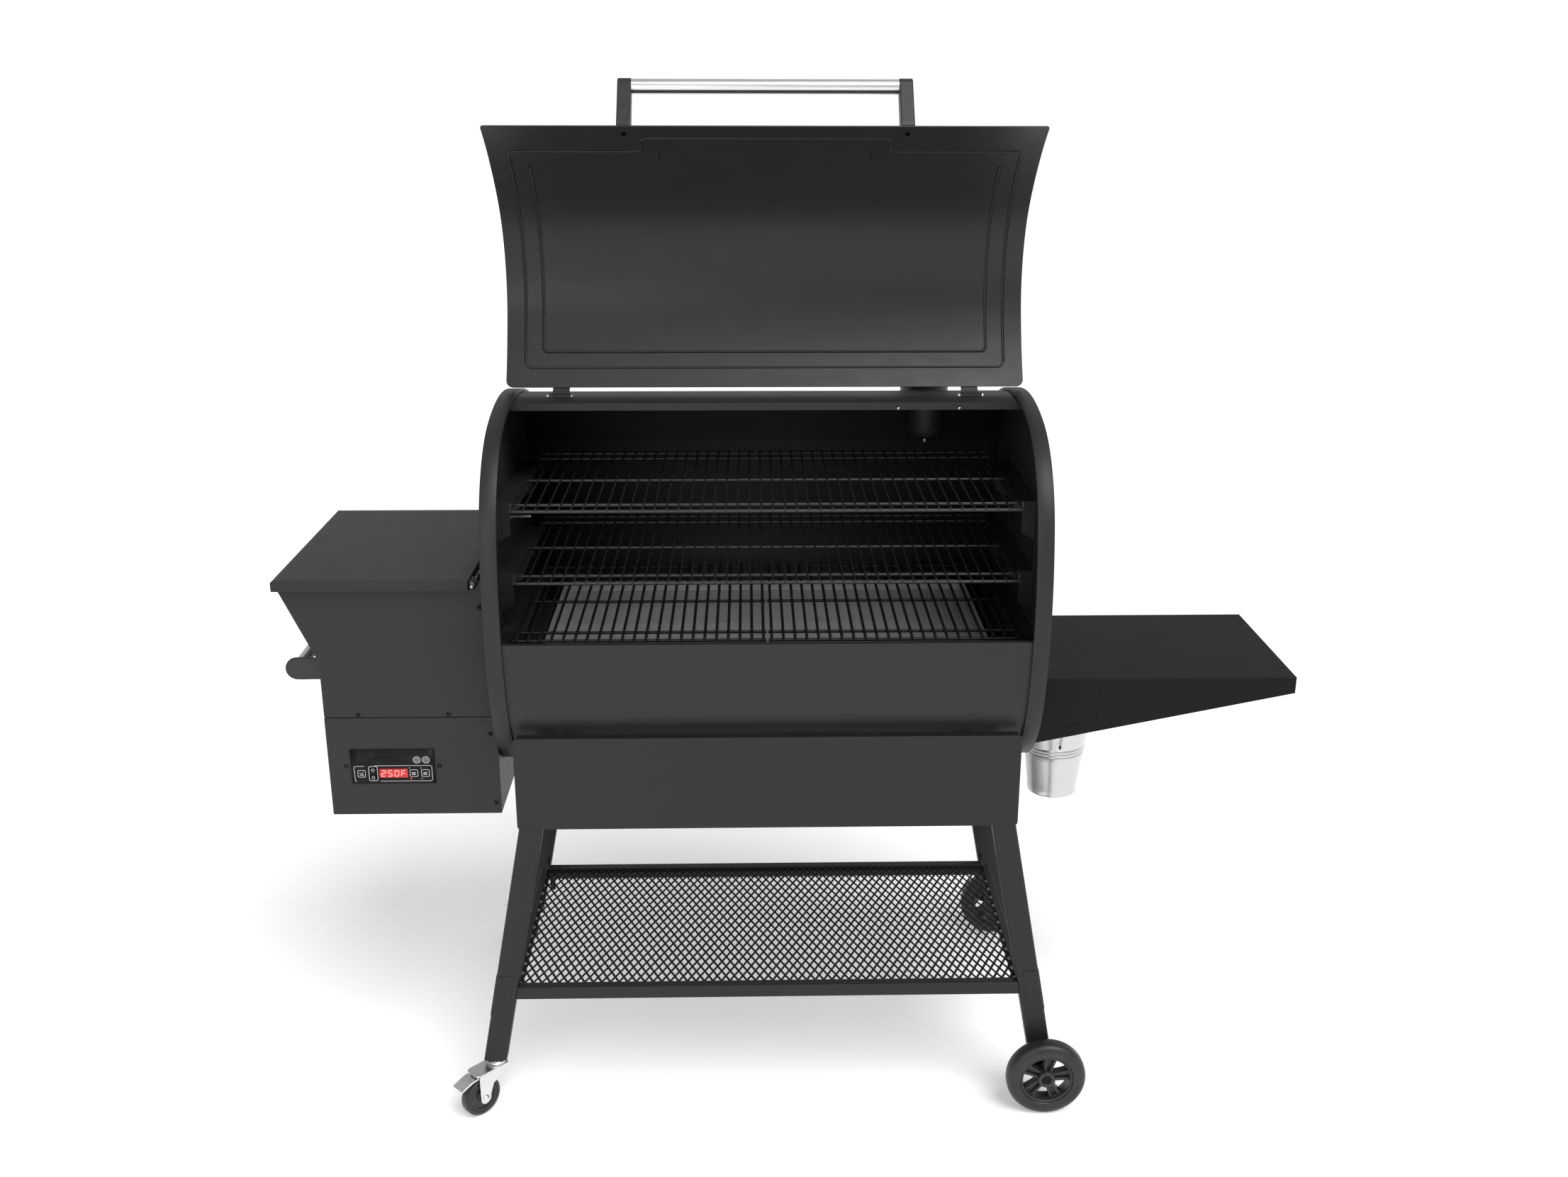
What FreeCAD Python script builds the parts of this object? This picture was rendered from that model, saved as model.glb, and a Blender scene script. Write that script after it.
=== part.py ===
import FreeCAD, Part
import math
import os
import re

# Pellet smoker grill: a barrel cooker on a splayed cart, with a pellet hopper on
# the left, a side table on the right and the lid standing open.
# Working axes: X to the grill's right, Y to its back, Z up from the floor, with
# X = 0 at the middle of the barrel. Every finished node is moved by frame_x and
# frame_y so that the part's own origin is under the middle of the whole grill.

SIZES = {
    # frame
    "frame_x": -53.25, "frame_y": -78.3,
    # barrel section, four tangent arcs from the crown down the front
    "barrel_half": 500, "barrel_mid_y": 30, "barrel_top_z": 1370,
    "crown_radius": 540, "crown_sweep": 17, "brow_radius": 225, "brow_sweep": 58,
    "flank_radius": 626, "flank_sweep": 30, "belly_radius": 253, "belly_sweep": 68,
    "rim_depth": 30, "rim_height": 5.7, "cap_plate": 1.5, "skin": 1.6, "skin_inset": 6,
    "mouth_z": 985, "strip_front_y": -25,
    # lid
    "lid_half": 492.5, "lid_sheet": 2, "lid_gap": 0.8, "lid_rear_y": 12, "lid_front_z": 986,
    "hinge_y": 36, "hinge_z": 1362, "lid_open": 126, "hinge_left_x": -388, "hinge_right_x": 389,
    "grip_radius": 13, "grip_y": -397, "grip_z": 1010, "grip_half": 235, "arm_wide": 24,
    # racks and grates
    "rack_half": 462, "rack_depth": 450, "rack_front_y": -195, "rack_top_z": 1201,
    "rack_mid_z": 1066, "grate_z": 955, "grate_half_gap": 1.5, "rod_radius": 2, "frame_rod": 3,
    "tray_z": 905, "tray_half": 420,
    # fire and feed
    "pot_x": -70, "pot_wide": 120, "auger_z": 780, "auger_tube_radius": 24, "fan_z": 712,
    # chimney
    "stack_x": 344, "stack_y": 416, "stack_radius": 51, "stack_top_z": 1560, "stack_port_z": 1262,
    # hopper
    "bin_front_y": -211, "bin_back_y": 260, "bin_left_x": -818, "bin_right_x": -502,
    "bin_brow_x": -886, "bin_top_z": 1063, "bin_knee_z": 924, "seam_z": 814, "box_floor_z": 617.5,
    "bin_lid_left": -889, "bin_lid_right": -536, "bin_lid_front": -217, "bin_lid_back": 266,
    "bin_lid_top": 1079, "plate_left": -777, "plate_right": -621, "plate_low": 681.5, "plate_high": 750.5,
    # table
    "table_out_x": 996.5, "table_top_z": 867, "table_front_y": -174, "table_back_y": 183,
    "table_rim": 32, "table_drop": 132,
    # cart
    "splay_top_x": 463.7, "splay_top_z": 610, "splay": 10.65, "leg_wide": 44, "leg_deep": 30,
    "leg_top_z": 758, "leg_front_y": -250, "leg_rear_y": 330, "skirt_half": 465.7,
    "skirt_low_z": 610.6, "skirt_high_z": 793.4, "shelf_z": 269.7, "shelf_back_y": 208,
    # wheels and casters
    "wheel_radius": 77.8, "wheel_wide": 37, "wheel_x": 543, "caster_radius": 40,
    "caster_wide": 24, "caster_trail": 42, "caster_leg_low": 106,
    # bucket
    "bucket_x": 589, "bucket_floor_z": 543, "bucket_top_z": 690, "bucket_floor_radius": 48,
    "bucket_top_radius": 66, "bucket_ear_z": 661.9, "bail_radius": 76, "bail_wire": 1.6,
}

doc = FreeCAD.newDocument("PelletSmoker")
sheet = doc.addObject("Spreadsheet::Sheet", "Sizes")
for row, (word, value) in enumerate(SIZES.items(), 1):
    sheet.set("A%d" % row, word)
    sheet.set("B%d" % row, str(value))
    sheet.setAlias("B%d" % row, word)
doc.recompute()

NODES = []
SPOTS = {}
AXES = {"x": ((0, 1, 0), 90), "y": ((1, 0, 0), -90), "z": None}


def size(word):
    """The number the sheet holds for a named size."""
    return float(sheet.get(word))


def bind(obj, path, value):
    """Tie one property to an expression over the sheet's words."""
    words = re.sub(r"[a-z][a-z0-9_]*", lambda found: "Sizes." + found.group(0), str(value))
    obj.setExpression(path, words)


def spot(obj, x, y, z, turn=None):
    """Place an object; turn is ((axis), degrees)."""
    if turn:
        obj.Placement = FreeCAD.Placement(
            FreeCAD.Vector(), FreeCAD.Rotation(FreeCAD.Vector(*turn[0]), turn[1]))
    SPOTS[obj.Name] = (x, y, z)
    for axis, value in zip("xyz", (x, y, z)):
        bind(obj, "Placement.Base." + axis, value)
    return obj


def box(name, length, width, height, x, y, z, turn=None):
    """A block whose low corner sits at x, y, z."""
    obj = doc.addObject("Part::Box", name)
    for path, value in (("Length", length), ("Width", width), ("Height", height)):
        bind(obj, path, value)
    return spot(obj, x, y, z, turn)


def rod(name, radius, length, x, y, z, along="z"):
    """A round bar that starts at x, y, z and runs along one axis."""
    obj = doc.addObject("Part::Cylinder", name)
    bind(obj, "Radius", radius)
    bind(obj, "Height", length)
    return spot(obj, x, y, z, AXES[along])


def cone(name, low_radius, high_radius, height, x, y, z, along="z"):
    """A tapered round bar."""
    obj = doc.addObject("Part::Cone", name)
    for path, value in (("Radius1", low_radius), ("Radius2", high_radius), ("Height", height)):
        bind(obj, path, value)
    return spot(obj, x, y, z, AXES[along])


def ring(name, big, small, x, y, z, along="z"):
    """A torus about one axis."""
    obj = doc.addObject("Part::Torus", name)
    bind(obj, "Radius1", big)
    bind(obj, "Radius2", small)
    return spot(obj, x, y, z, AXES[along])


def join(name, parts):
    """One solid from several that run into each other."""
    obj = doc.addObject("Part::MultiFuse", name)
    obj.Shapes = parts
    obj.Refine = True
    return obj


def carve(name, base, tools):
    """The base with the tools taken out of it."""
    obj = doc.addObject("Part::Cut", name)
    obj.Base = base
    obj.Tool = tools[0] if len(tools) == 1 else join(name + "Tools", tools)
    return obj


def keep(name, base, region):
    """The part of the base that lies inside the region."""
    obj = doc.addObject("Part::Common", name)
    obj.Base, obj.Tool = base, region
    return obj


def group(name, parts):
    """Several like pieces kept together as separate solids."""
    obj = doc.addObject("Part::Compound", name)
    obj.Links = parts
    return obj


def outline(path):
    """Edges of a closed path; a step is a point, or (mid, end) for an arc."""
    here, edges = path[0], []
    for step in list(path[1:]) + [path[0]]:
        if isinstance(step[0], (tuple, list)):
            mid, end = step
            edges.append(Part.Arc(*[FreeCAD.Vector(a, b, 0) for a, b in (here, mid, end)]))
        else:
            end = step
            if math.dist(here, end) > 1e-6:
                edges.append(Part.LineSegment(FreeCAD.Vector(*here, 0), FreeCAD.Vector(*end, 0)))
        here = end
    return edges


def plate(name, plane, path, depth, x=0, y=0, z=0):
    """A padded sketch, equal to both sides of its plane (XY, XZ or YZ)."""
    body = doc.addObject("PartDesign::Body", name)
    sketch = body.newObject("Sketcher::SketchObject", name + "Sketch")
    flat = [f for f in body.Origin.OriginFeatures if getattr(f, "Role", "") == plane + "_Plane"][0]
    sketch.AttachmentSupport = [(flat, "")]
    sketch.MapMode = "FlatFace"
    sketch.addGeometry(outline(path), False)
    pad = body.newObject("PartDesign::Pad", name + "Pad")
    pad.Profile = sketch
    if "SideType" in pad.PropertiesList:
        pad.SideType = "Symmetric"
    else:
        pad.Midplane = True
    bind(pad, "Length", depth)
    body.Tip = pad
    return spot(body, x, y, z)


def node(obj, label, pivot=None, turn=None):
    """Name a finished sub-part and move it into the part's own frame."""
    x, y, z = pivot if pivot else SPOTS.get(obj.Name, (0, 0, 0))
    spot(obj, "frame_x + (%s)" % x, "frame_y + (%s)" % y, z, turn)
    obj.Label = label
    NODES.append(obj)
    return obj


# ---------------------------------------------------------------- barrel section

def half_section(inset):
    """Arc steps (mid, end) down the front half of the barrel section."""
    here = (size("barrel_mid_y"), size("barrel_top_z") - inset)
    steps, heading = [], 180.0
    for word in ("crown", "brow", "flank", "belly", "keel"):
        if word == "keel":
            sweep = 360.0 - heading
            radius = (size("barrel_mid_y") - here[0]) / math.sin(math.radians(sweep))
        else:
            sweep = size(word + "_sweep")
            radius = size(word + "_radius") - inset
        turn = math.radians(heading)
        mid_y = here[0] - radius * math.sin(turn)
        mid_z = here[1] + radius * math.cos(turn)
        pair = []
        for part in (0.5, 1.0):
            turn = math.radians(heading + sweep * part)
            pair.append((mid_y + radius * math.sin(turn), mid_z - radius * math.cos(turn)))
        steps.append(tuple(pair))
        here, heading = pair[1], heading + sweep
    return steps


def section(inset):
    """The whole closed barrel section, inset from the outer rim."""
    top = (size("barrel_mid_y"), size("barrel_top_z") - inset)
    front = half_section(inset)

    def mirror(point):
        return (2 * size("barrel_mid_y") - point[0], point[1])

    ends = [top] + [end for _, end in front]
    back = [(mirror(front[k][0]), mirror(ends[k])) for k in range(len(front) - 1, -1, -1)]
    return [top] + front + back


def disc(name, inset, depth, x=0):
    """A slab with the barrel's section."""
    return plate(name, "YZ", section(inset), depth, x)


def barrel():
    skin = size("skin_inset")
    tube = carve("SkinTube", disc("SkinOuter", skin, "2 * (barrel_half - cap_plate) - 0.4"),
                 [disc("SkinInner", skin + size("skin"), "2 * barrel_half + 20")])
    cuts = [
        box("Mouth", "2 * barrel_half + 40", 400, 500, "-barrel_half - 20", "strip_front_y - 400", "mouth_z"),
        rod("StackPort", "stack_radius - 3", 120, "stack_x", 300, "stack_port_z", "y"),
    ]
    for side in ("left", "right"):
        cuts.append(box("HingeGap" + side, 52, 44, 20, "hinge_%s_x - 26" % side, "hinge_y - 18", "hinge_z - 8"))
    shell = carve("ShellCut", tube, cuts)
    lip = box("StripLip", "2 * (barrel_half - rim_depth) - 4", "skin", 13, "-barrel_half + rim_depth + 2",
              "strip_front_y", "barrel_top_z - skin_inset - 15.6")
    sill = box("MouthSill", "2 * (barrel_half - rim_depth) - 4", 11, "skin", "-barrel_half + rim_depth + 2",
               -291.5, "mouth_z - skin")
    node(join("Shell", [shell, lip, sill]), "barrel_shell")
    for side, sign in (("left", -1), ("right", 1)):
        solid = disc("Cap" + side, 0, "rim_depth", sign * (500 - 15))
        hollow = disc("CapHollow" + side, size("rim_height"), "rim_depth", sign * (500 - 16.5))
        holes = [hollow]
        if sign < 0:
            holes += [rod("AugerHole", "auger_tube_radius + 0.5", 40, -520, "barrel_mid_y", "auger_z", "x"),
                      rod("AirHole", 22, 40, -520, "barrel_mid_y", "fan_z + 10", "x"),
                      rod("ProbeHole", 5.4, 40, -520, "barrel_mid_y", 1130, "x")]
        else:
            holes.append(rod("DrainHole", 14.4, 40, 480, "barrel_mid_y", 722, "x"))
        node(carve("EndCap" + side, solid, holes), "end_cap_" + side)


def rack_brackets():
    parts = []
    for side, sign in (("Left", -1), ("Right", 1)):
        wall = "%d * (barrel_half - cap_plate) - %s" % (sign, "0" if sign < 0 else "2")
        pieces = []
        for k, y in enumerate((-120, 170)):
            pieces.append(box("Upright%s%d" % (side, k), 2, 26, 335, wall, y, 900))
        for k, (level, reach) in enumerate((("tray_z - 2.3", 90), ("grate_z - frame_rod - 2.3", 46),
                                            ("rack_mid_z - frame_rod - 2.3", 46),
                                            ("rack_top_z - frame_rod - 2.3", 46))):
            x = "-barrel_half + cap_plate" if sign < 0 else "barrel_half - cap_plate - %d" % reach
            pieces.append(box("Ledge%s%d" % (side, k), reach, 316, 2, x, -120, level))
        parts.append(join("Bracket" + side, pieces))
    node(group("Brackets", parts), "rack_brackets")


def wire_rack(name, label, left, right, z, count, rod_word="rod_radius"):
    """Rods along Y welded on top of cross rods; returns the placed node."""
    pieces = []
    span = "%s - (%s)" % (right, left)
    front, depth = "rack_front_y", "rack_depth"
    for k, y in enumerate((front + " + 4", front + " + 48", "barrel_mid_y",
                           "%s + %s - 48" % (front, depth), "%s + %s - 4" % (front, depth))):
        pieces.append(rod("%sCross%d" % (name, k), "frame_rod", span, left, y, z, "x"))
    for k in range(count):
        x = "(%s) + 6 + (%s - 12) * %d / %d" % (left, span, k, count - 1)
        pieces.append(rod("%sRod%d" % (name, k), rod_word, depth, x, front, z + " + frame_rod + 1", "y"))
    return node(join(name, pieces), label)


def cooking_surfaces():
    wire_rack("RackTop", "rack_top", "-rack_half", "rack_half", "rack_top_z", 44)
    wire_rack("RackMid", "rack_middle", "-rack_half", "rack_half", "rack_mid_z", 44)
    wire_rack("GrateLeft", "grate_left", "-rack_half - 4", "-grate_half_gap", "grate_z", 22, "rod_radius + 0.8")
    wire_rack("GrateRight", "grate_right", "grate_half_gap", "rack_half + 4", "grate_z", 22, "rod_radius + 0.8")
    pan = box("TrayBlock", "2 * tray_half", 430, 22, "-tray_half", -185, "tray_z")
    well = box("TrayWell", "2 * tray_half - 3", 427, 22, "-tray_half + 1.5", -183.5, "tray_z + 1.5")
    node(carve("Tray", pan, [well]), "drip_tray")


def fire_and_feed():
    pot = box("PotBlock", "pot_wide", "pot_wide", 140, "pot_x - pot_wide / 2", "barrel_mid_y - pot_wide / 2", 689)
    pot_cuts = [
        box("PotWell", "pot_wide - 5", "pot_wide - 5", 130, "pot_x - pot_wide / 2 + 2.5",
            "barrel_mid_y - pot_wide / 2 + 2.5", 720),
        box("PotPlenum", "pot_wide - 5", "pot_wide - 5", 26, "pot_x - pot_wide / 2 + 2.5",
            "barrel_mid_y - pot_wide / 2 + 2.5", 688),
        rod("PotFeed", "auger_tube_radius + 0.5", 20, "pot_x - pot_wide / 2 - 10", "barrel_mid_y", "auger_z", "x"),
        rod("PotIgniter", 5.3, 20, "pot_x", "barrel_mid_y - pot_wide / 2 - 10", 742, "y"),
    ]
    node(carve("Pot", pot, pot_cuts), "fire_pot")
    roof = plate("BaffleRoof", "YZ", [(-110, 838), (0, 866), (110, 838), (110, 700), (112, 700), (112, 839.4),
                                       (0, 868.2), (-112, 839.4), (-112, 700), (-110, 700)], 260,
                 "pot_x", "barrel_mid_y", 0)
    node(carve("Baffle", roof, [rod("BaffleIgniter", 5.3, 20, "pot_x", "barrel_mid_y - 120", 742, "y")]), "heat_baffle")
    node(rod("Igniter", 5, 92, "pot_x", "barrel_mid_y - 132", 742, "y"), "igniter_rod")
    tube = carve("FeedTubeCut", rod("FeedTube", "auger_tube_radius", 572, -700, "barrel_mid_y", "auger_z", "x"),
                 [rod("FeedBore", "auger_tube_radius - 2", 600, -702, "barrel_mid_y", "auger_z", "x"),
                  box("FeedMouth", 60, 36, 30, -690, "barrel_mid_y - 18", "auger_z + 4")])
    node(tube, "auger_tube")
    screw = [rod("AugerCore", 7, 571, -716, "barrel_mid_y", "auger_z", "x")]
    for k in range(14):
        screw.append(rod("Flight%d" % k, 20, 3, "-690 + %d" % (k * 40), "barrel_mid_y", "auger_z", "x"))
    node(join("Auger", screw), "auger_screw")
    motor = join("MotorBody", [box("MotorCase", 62, 56, 56, -790, "barrel_mid_y - 28", "auger_z - 28"),
                               rod("MotorNose", 12, 20, -728, "barrel_mid_y", "auger_z", "x")])
    node(carve("Motor", motor, [rod("MotorSocket", 7.06, 30, -718, "barrel_mid_y", "auger_z", "x")]), "auger_motor")
    fan = carve("FanCut", box("FanBlock", 44, 64, 64, -548, "barrel_mid_y - 32", "fan_z - 32"),
                [rod("FanWell", 29, 36, -544.5, "barrel_mid_y", "fan_z", "x"),
                 rod("FanInlet", 22, 20, -552, "barrel_mid_y", "fan_z", "x"),
                 rod("FanOutlet", 20, 20, -512, "barrel_mid_y", "fan_z + 8", "x")])
    arm = box("FanArm", 3, 7, 34, -511.5, "barrel_mid_y - 3.5", "fan_z - 31")
    axle = rod("FanAxle", 2, 22, -532, "barrel_mid_y", "fan_z", "x")
    node(join("Fan", [fan, arm, axle]), "fan_housing")
    blades = [rod("FanHub", 8, 24, -540, "barrel_mid_y", "fan_z", "x")]
    for k in range(10):
        turn = FreeCAD.Rotation(FreeCAD.Vector(1, 0, 0), 36 * k)
        blade = box("Blade%d" % k, 22, 19, 1.6, -539, "barrel_mid_y", "fan_z")
        offset = turn.multVec(FreeCAD.Vector(0, 7, -0.8))
        blade.Placement = FreeCAD.Placement(FreeCAD.Vector(), turn)
        spot(blade, -539, "barrel_mid_y + (%.4f)" % offset.y, "fan_z + (%.4f)" % offset.z)
        blades.append(blade)
    node(carve("FanRotor", join("FanBody", blades),
               [rod("FanBore", 2.06, 40, -550, "barrel_mid_y", "fan_z", "x")]), "fan_rotor")
    probe = join("ProbeJoin", [rod("ProbeStem", 3, 44, -498, "barrel_mid_y", 1130, "x"),
                               rod("ProbeNut", 5, 14, -500.4, "barrel_mid_y", 1130, "x"),
                               rod("ProbeCollar", 9, 4, -498.2, "barrel_mid_y", 1130, "x")])
    node(probe, "temp_probe")
    spout = join("SpoutBody", [rod("SpoutRun", 14, "bucket_x - 494", 494, "barrel_mid_y", 722, "x"),
                               rod("SpoutDrop", 14, 28, "bucket_x", "barrel_mid_y", 694, "z"),
                               rod("SpoutFlange", 22, 2, 500.3, "barrel_mid_y", 722, "x")])
    bores = [rod("SpoutBore", 12, "bucket_x - 480", 480, "barrel_mid_y", 722, "x"),
             rod("SpoutOutlet", 12, 42, "bucket_x", "barrel_mid_y", 680, "z")]
    node(carve("Spout", spout, bores), "drain_spout")


def chimney():
    pipe = join("StackBody", [rod("StackPipe", "stack_radius", "stack_top_z - 1200", "stack_x", "stack_y", 1200),
                              rod("StackNeck", "stack_radius - 4", 100, "stack_x", 316, "stack_port_z", "y")])
    bores = [rod("StackBore", "stack_radius - 2", "stack_top_z - 1190", "stack_x", "stack_y", 1202),
             rod("StackNeckBore", "stack_radius - 6", 101, "stack_x", 315, "stack_port_z", "y")]
    hollow = carve("StackHollow", pipe, bores)
    bridge = [box("StackBridge", "2 * stack_radius - 2", 4, 8, "stack_x - stack_radius + 1", "stack_y - 2",
                  "stack_top_z - 10"),
              rod("StackStud", 4, 42, "stack_x", "stack_y", "stack_top_z - 10")]
    node(join("Stack", [hollow] + bridge), "chimney_pipe")
    cap = join("CapBody", [rod("CapTop", 68, 2, "stack_x", "stack_y", "stack_top_z + 22"),
                           carve("CapSkirt", rod("CapSkirtOuter", 68, 22, "stack_x", "stack_y", "stack_top_z + 2"),
                                 [rod("CapSkirtInner", 66, 24, "stack_x", "stack_y", "stack_top_z + 1")]),
                           rod("CapBoss", 9, 10, "stack_x", "stack_y", "stack_top_z + 14")])
    node(carve("Cap", cap, [rod("CapThread", 4.08, 40, "stack_x", "stack_y", "stack_top_z")]), "chimney_cap")

# ------------------------------------------------------------------------ hopper

def bin_path(inset, floor, top):
    """Hopper side outline in X and Z."""
    left, right = size("bin_left_x") + inset, size("bin_right_x") - inset
    brow = size("bin_brow_x") + inset
    return [(brow, top), (left, size("bin_knee_z")), (left, floor), (right, floor), (right, top)]


def hopper():
    mid_y = "(bin_front_y + bin_back_y) / 2"
    outer = plate("BinOuter", "XZ", bin_path(0, size("seam_z"), size("bin_top_z")), "bin_back_y - bin_front_y", 0, mid_y)
    inner = plate("BinInner", "XZ", bin_path(1.5, size("seam_z") + 1.5, size("bin_top_z") + 5),
                  "bin_back_y - bin_front_y - 3", 0, mid_y)
    shell = carve("BinShell", outer, [inner, box("BinThroat", 56, 40, 10, -688, "barrel_mid_y - 20", "seam_z - 4")])
    chute = []
    for k, (tip, out) in enumerate(((-690, -817), (-630, -503))):
        low, high = size("seam_z") + 1, 900
        lean = 1.5 if out > tip else -1.5
        path = [(tip, low), (out, high), (out, high + 2), (tip - lean, low)]
        chute.append(plate("Chute%d" % k, "XZ", path, "bin_back_y - bin_front_y - 2", 0, mid_y))
    deck = box("BinDeck", 34, "bin_back_y - bin_front_y", 1.5, -536, "bin_front_y", "bin_top_z - 1.5")
    lugs = [carve("BinLug%d" % k, box("BinLugBlock%d" % k, 8, 12, 9, "bin_lid_right", y, "bin_top_z - 1"),
                  [rod("BinLugBore%d" % k, 3.06, 14, "bin_lid_right + 4", y - 1, "bin_top_z + 4", "y")])
            for k, y in enumerate((-150, 190))]
    node(join("Bin", [shell, deck] + chute + lugs), "hopper_bin")
    bars = [box("GuardRail%d" % k, 250, 3, 6, -785, y, 940) for k, y in enumerate((-190, 25, 236))]
    bars += [rod("GuardRod%d" % k, 2, 429, "-775 + %d" % (k * 24), -190, 943, "y") for k in range(10)]
    node(join("Guard", bars), "hopper_guard")

    depth = "bin_back_y - bin_front_y"
    case = carve("BoxCut", box("BoxOuter", "bin_right_x - bin_left_x", depth, "seam_z - box_floor_z - 0.3",
                               "bin_left_x", "bin_front_y", "box_floor_z"),
                 [box("BoxInner", "bin_right_x - bin_left_x - 3", depth + " - 3", "seam_z - box_floor_z",
                      "bin_left_x + 1.5", "bin_front_y + 1.5", "box_floor_z + 1.5"),
                  box("BoxThroat", 60, 44, 10, -690, "barrel_mid_y - 22", "seam_z - 6"),
                  box("PanelGap", 148, 10, 61, "plate_left + 4", "bin_front_y - 5", "plate_low + 4"),
                  rod("BoxFeedHole", "auger_tube_radius + 0.5", 20, -510, "barrel_mid_y", "auger_z", "x"),
                  rod("BoxAirHole", 22, 20, -510, "barrel_mid_y", "fan_z + 10", "x"),
                  box("InletGap", 28.4, 10, 20.4, -750.2, "bin_back_y - 5", 659.8)])
    node(case, "control_box")
    panel = box("PanelPlate", "plate_right - plate_left", 2, "plate_high - plate_low", "plate_left",
                "bin_front_y - 2", "plate_low")
    cuts = [box("DisplayGap", 53, 10, 18.2, -724.9, "bin_front_y - 6", 693.4)]
    for k, (x, z, wide, tall) in enumerate(BUTTONS.values()):
        cuts.append(box("ButtonGap%d" % k, wide + 0.4, 10, tall + 0.4, x - wide / 2 - 0.2, "bin_front_y - 6",
                        z - tall / 2 - 0.2))
    jacks = [rod("Jack%d" % k, 5, 3.6, x, "bin_front_y - 5.6", 729.2, "y") for k, x in enumerate((-654, -637))]
    face = carve("PanelCut", panel, cuts)
    node(group("Panel", [face] + jacks), "control_plate")
    node(box("DisplayWindow", 52.6, 5, 17.8, -724.7, "bin_front_y - 2.4", 693.6), "display")
    for label, (x, z, wide, tall) in BUTTONS.items():
        node(box("Key" + label, wide, 6, tall, x - wide / 2, "bin_front_y - 3.6", z - tall / 2), "button_" + label)
    node(box("Board", 150, 3, 62, -774, "bin_front_y + 6.5", 685), "controller_board")
    inlet = carve("InletCut", box("InletBlock", 28, 26, 20, -750, "bin_back_y - 24", 660),
                  [box("InletWell", 22, 16, 14, -747, "bin_back_y - 12", 663)])
    node(inlet, "power_inlet")

    top = carve("BinLidCut", box("BinLidBlock", "bin_lid_right - bin_lid_left", "bin_lid_back - bin_lid_front", 17.5,
                                 "bin_lid_left", "bin_lid_front", "bin_lid_top - 17.5"),
                [box("BinLidHollow", "bin_lid_right - bin_lid_left - 1", "bin_lid_back - bin_lid_front - 3", 17.5,
                     "bin_lid_left + 1.5", "bin_lid_front + 1.5", "bin_lid_top - 19")])
    hinge = [rod("BinHingeRod", 3, 469, "bin_lid_right + 4", "bin_front_y + 1", "bin_top_z + 4", "y")]
    hinge += [box("BinTab%d" % k, 8, 30, 15, "bin_lid_right - 2", y, "bin_top_z + 1") for k, y in
              enumerate((-200, 10, 225))]
    node(join("BinLid", [top] + hinge), "hopper_lid")

    arms = []
    for k, y in enumerate((-172, 212)):
        path = [(-818.3, 878), (-818.3, 918), (-868, 920), ((-890, 899), (-868, 878))]
        arms.append(plate("BinArm%d" % k, "XZ", path, 14, 0, y))
    for k, arm in enumerate(list(arms)):
        socket = rod("BinArmBore%d" % k, 12.3, 12, -868, ("-176", "204")[k], 899, "y")
        arms[k] = carve("BinArmCut%d" % k, arm, [socket])
    node(group("BinArms", arms), "hopper_handle_brackets")
    grip = carve("BinGripCut", rod("BinGrip", 12, 384, -868, -172, 899, "y"),
                 [rod("BinGripBore", 10.5, 390, -868, -175, 899, "y")])
    node(grip, "hopper_handle_tube")


# Push keys on the control plate: middle X, middle Z, width, height.
BUTTONS = {
    "power": (-758, 701.7, 11, 11), "up": (-736.4, 709.4, 9, 8), "down": (-736.4, 694.6, 9, 8),
    "mode": (-661, 702.3, 11.6, 11), "prime": (-639.6, 702.3, 11.6, 11),
}


# --------------------------------------------------------------------------- lid

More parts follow.
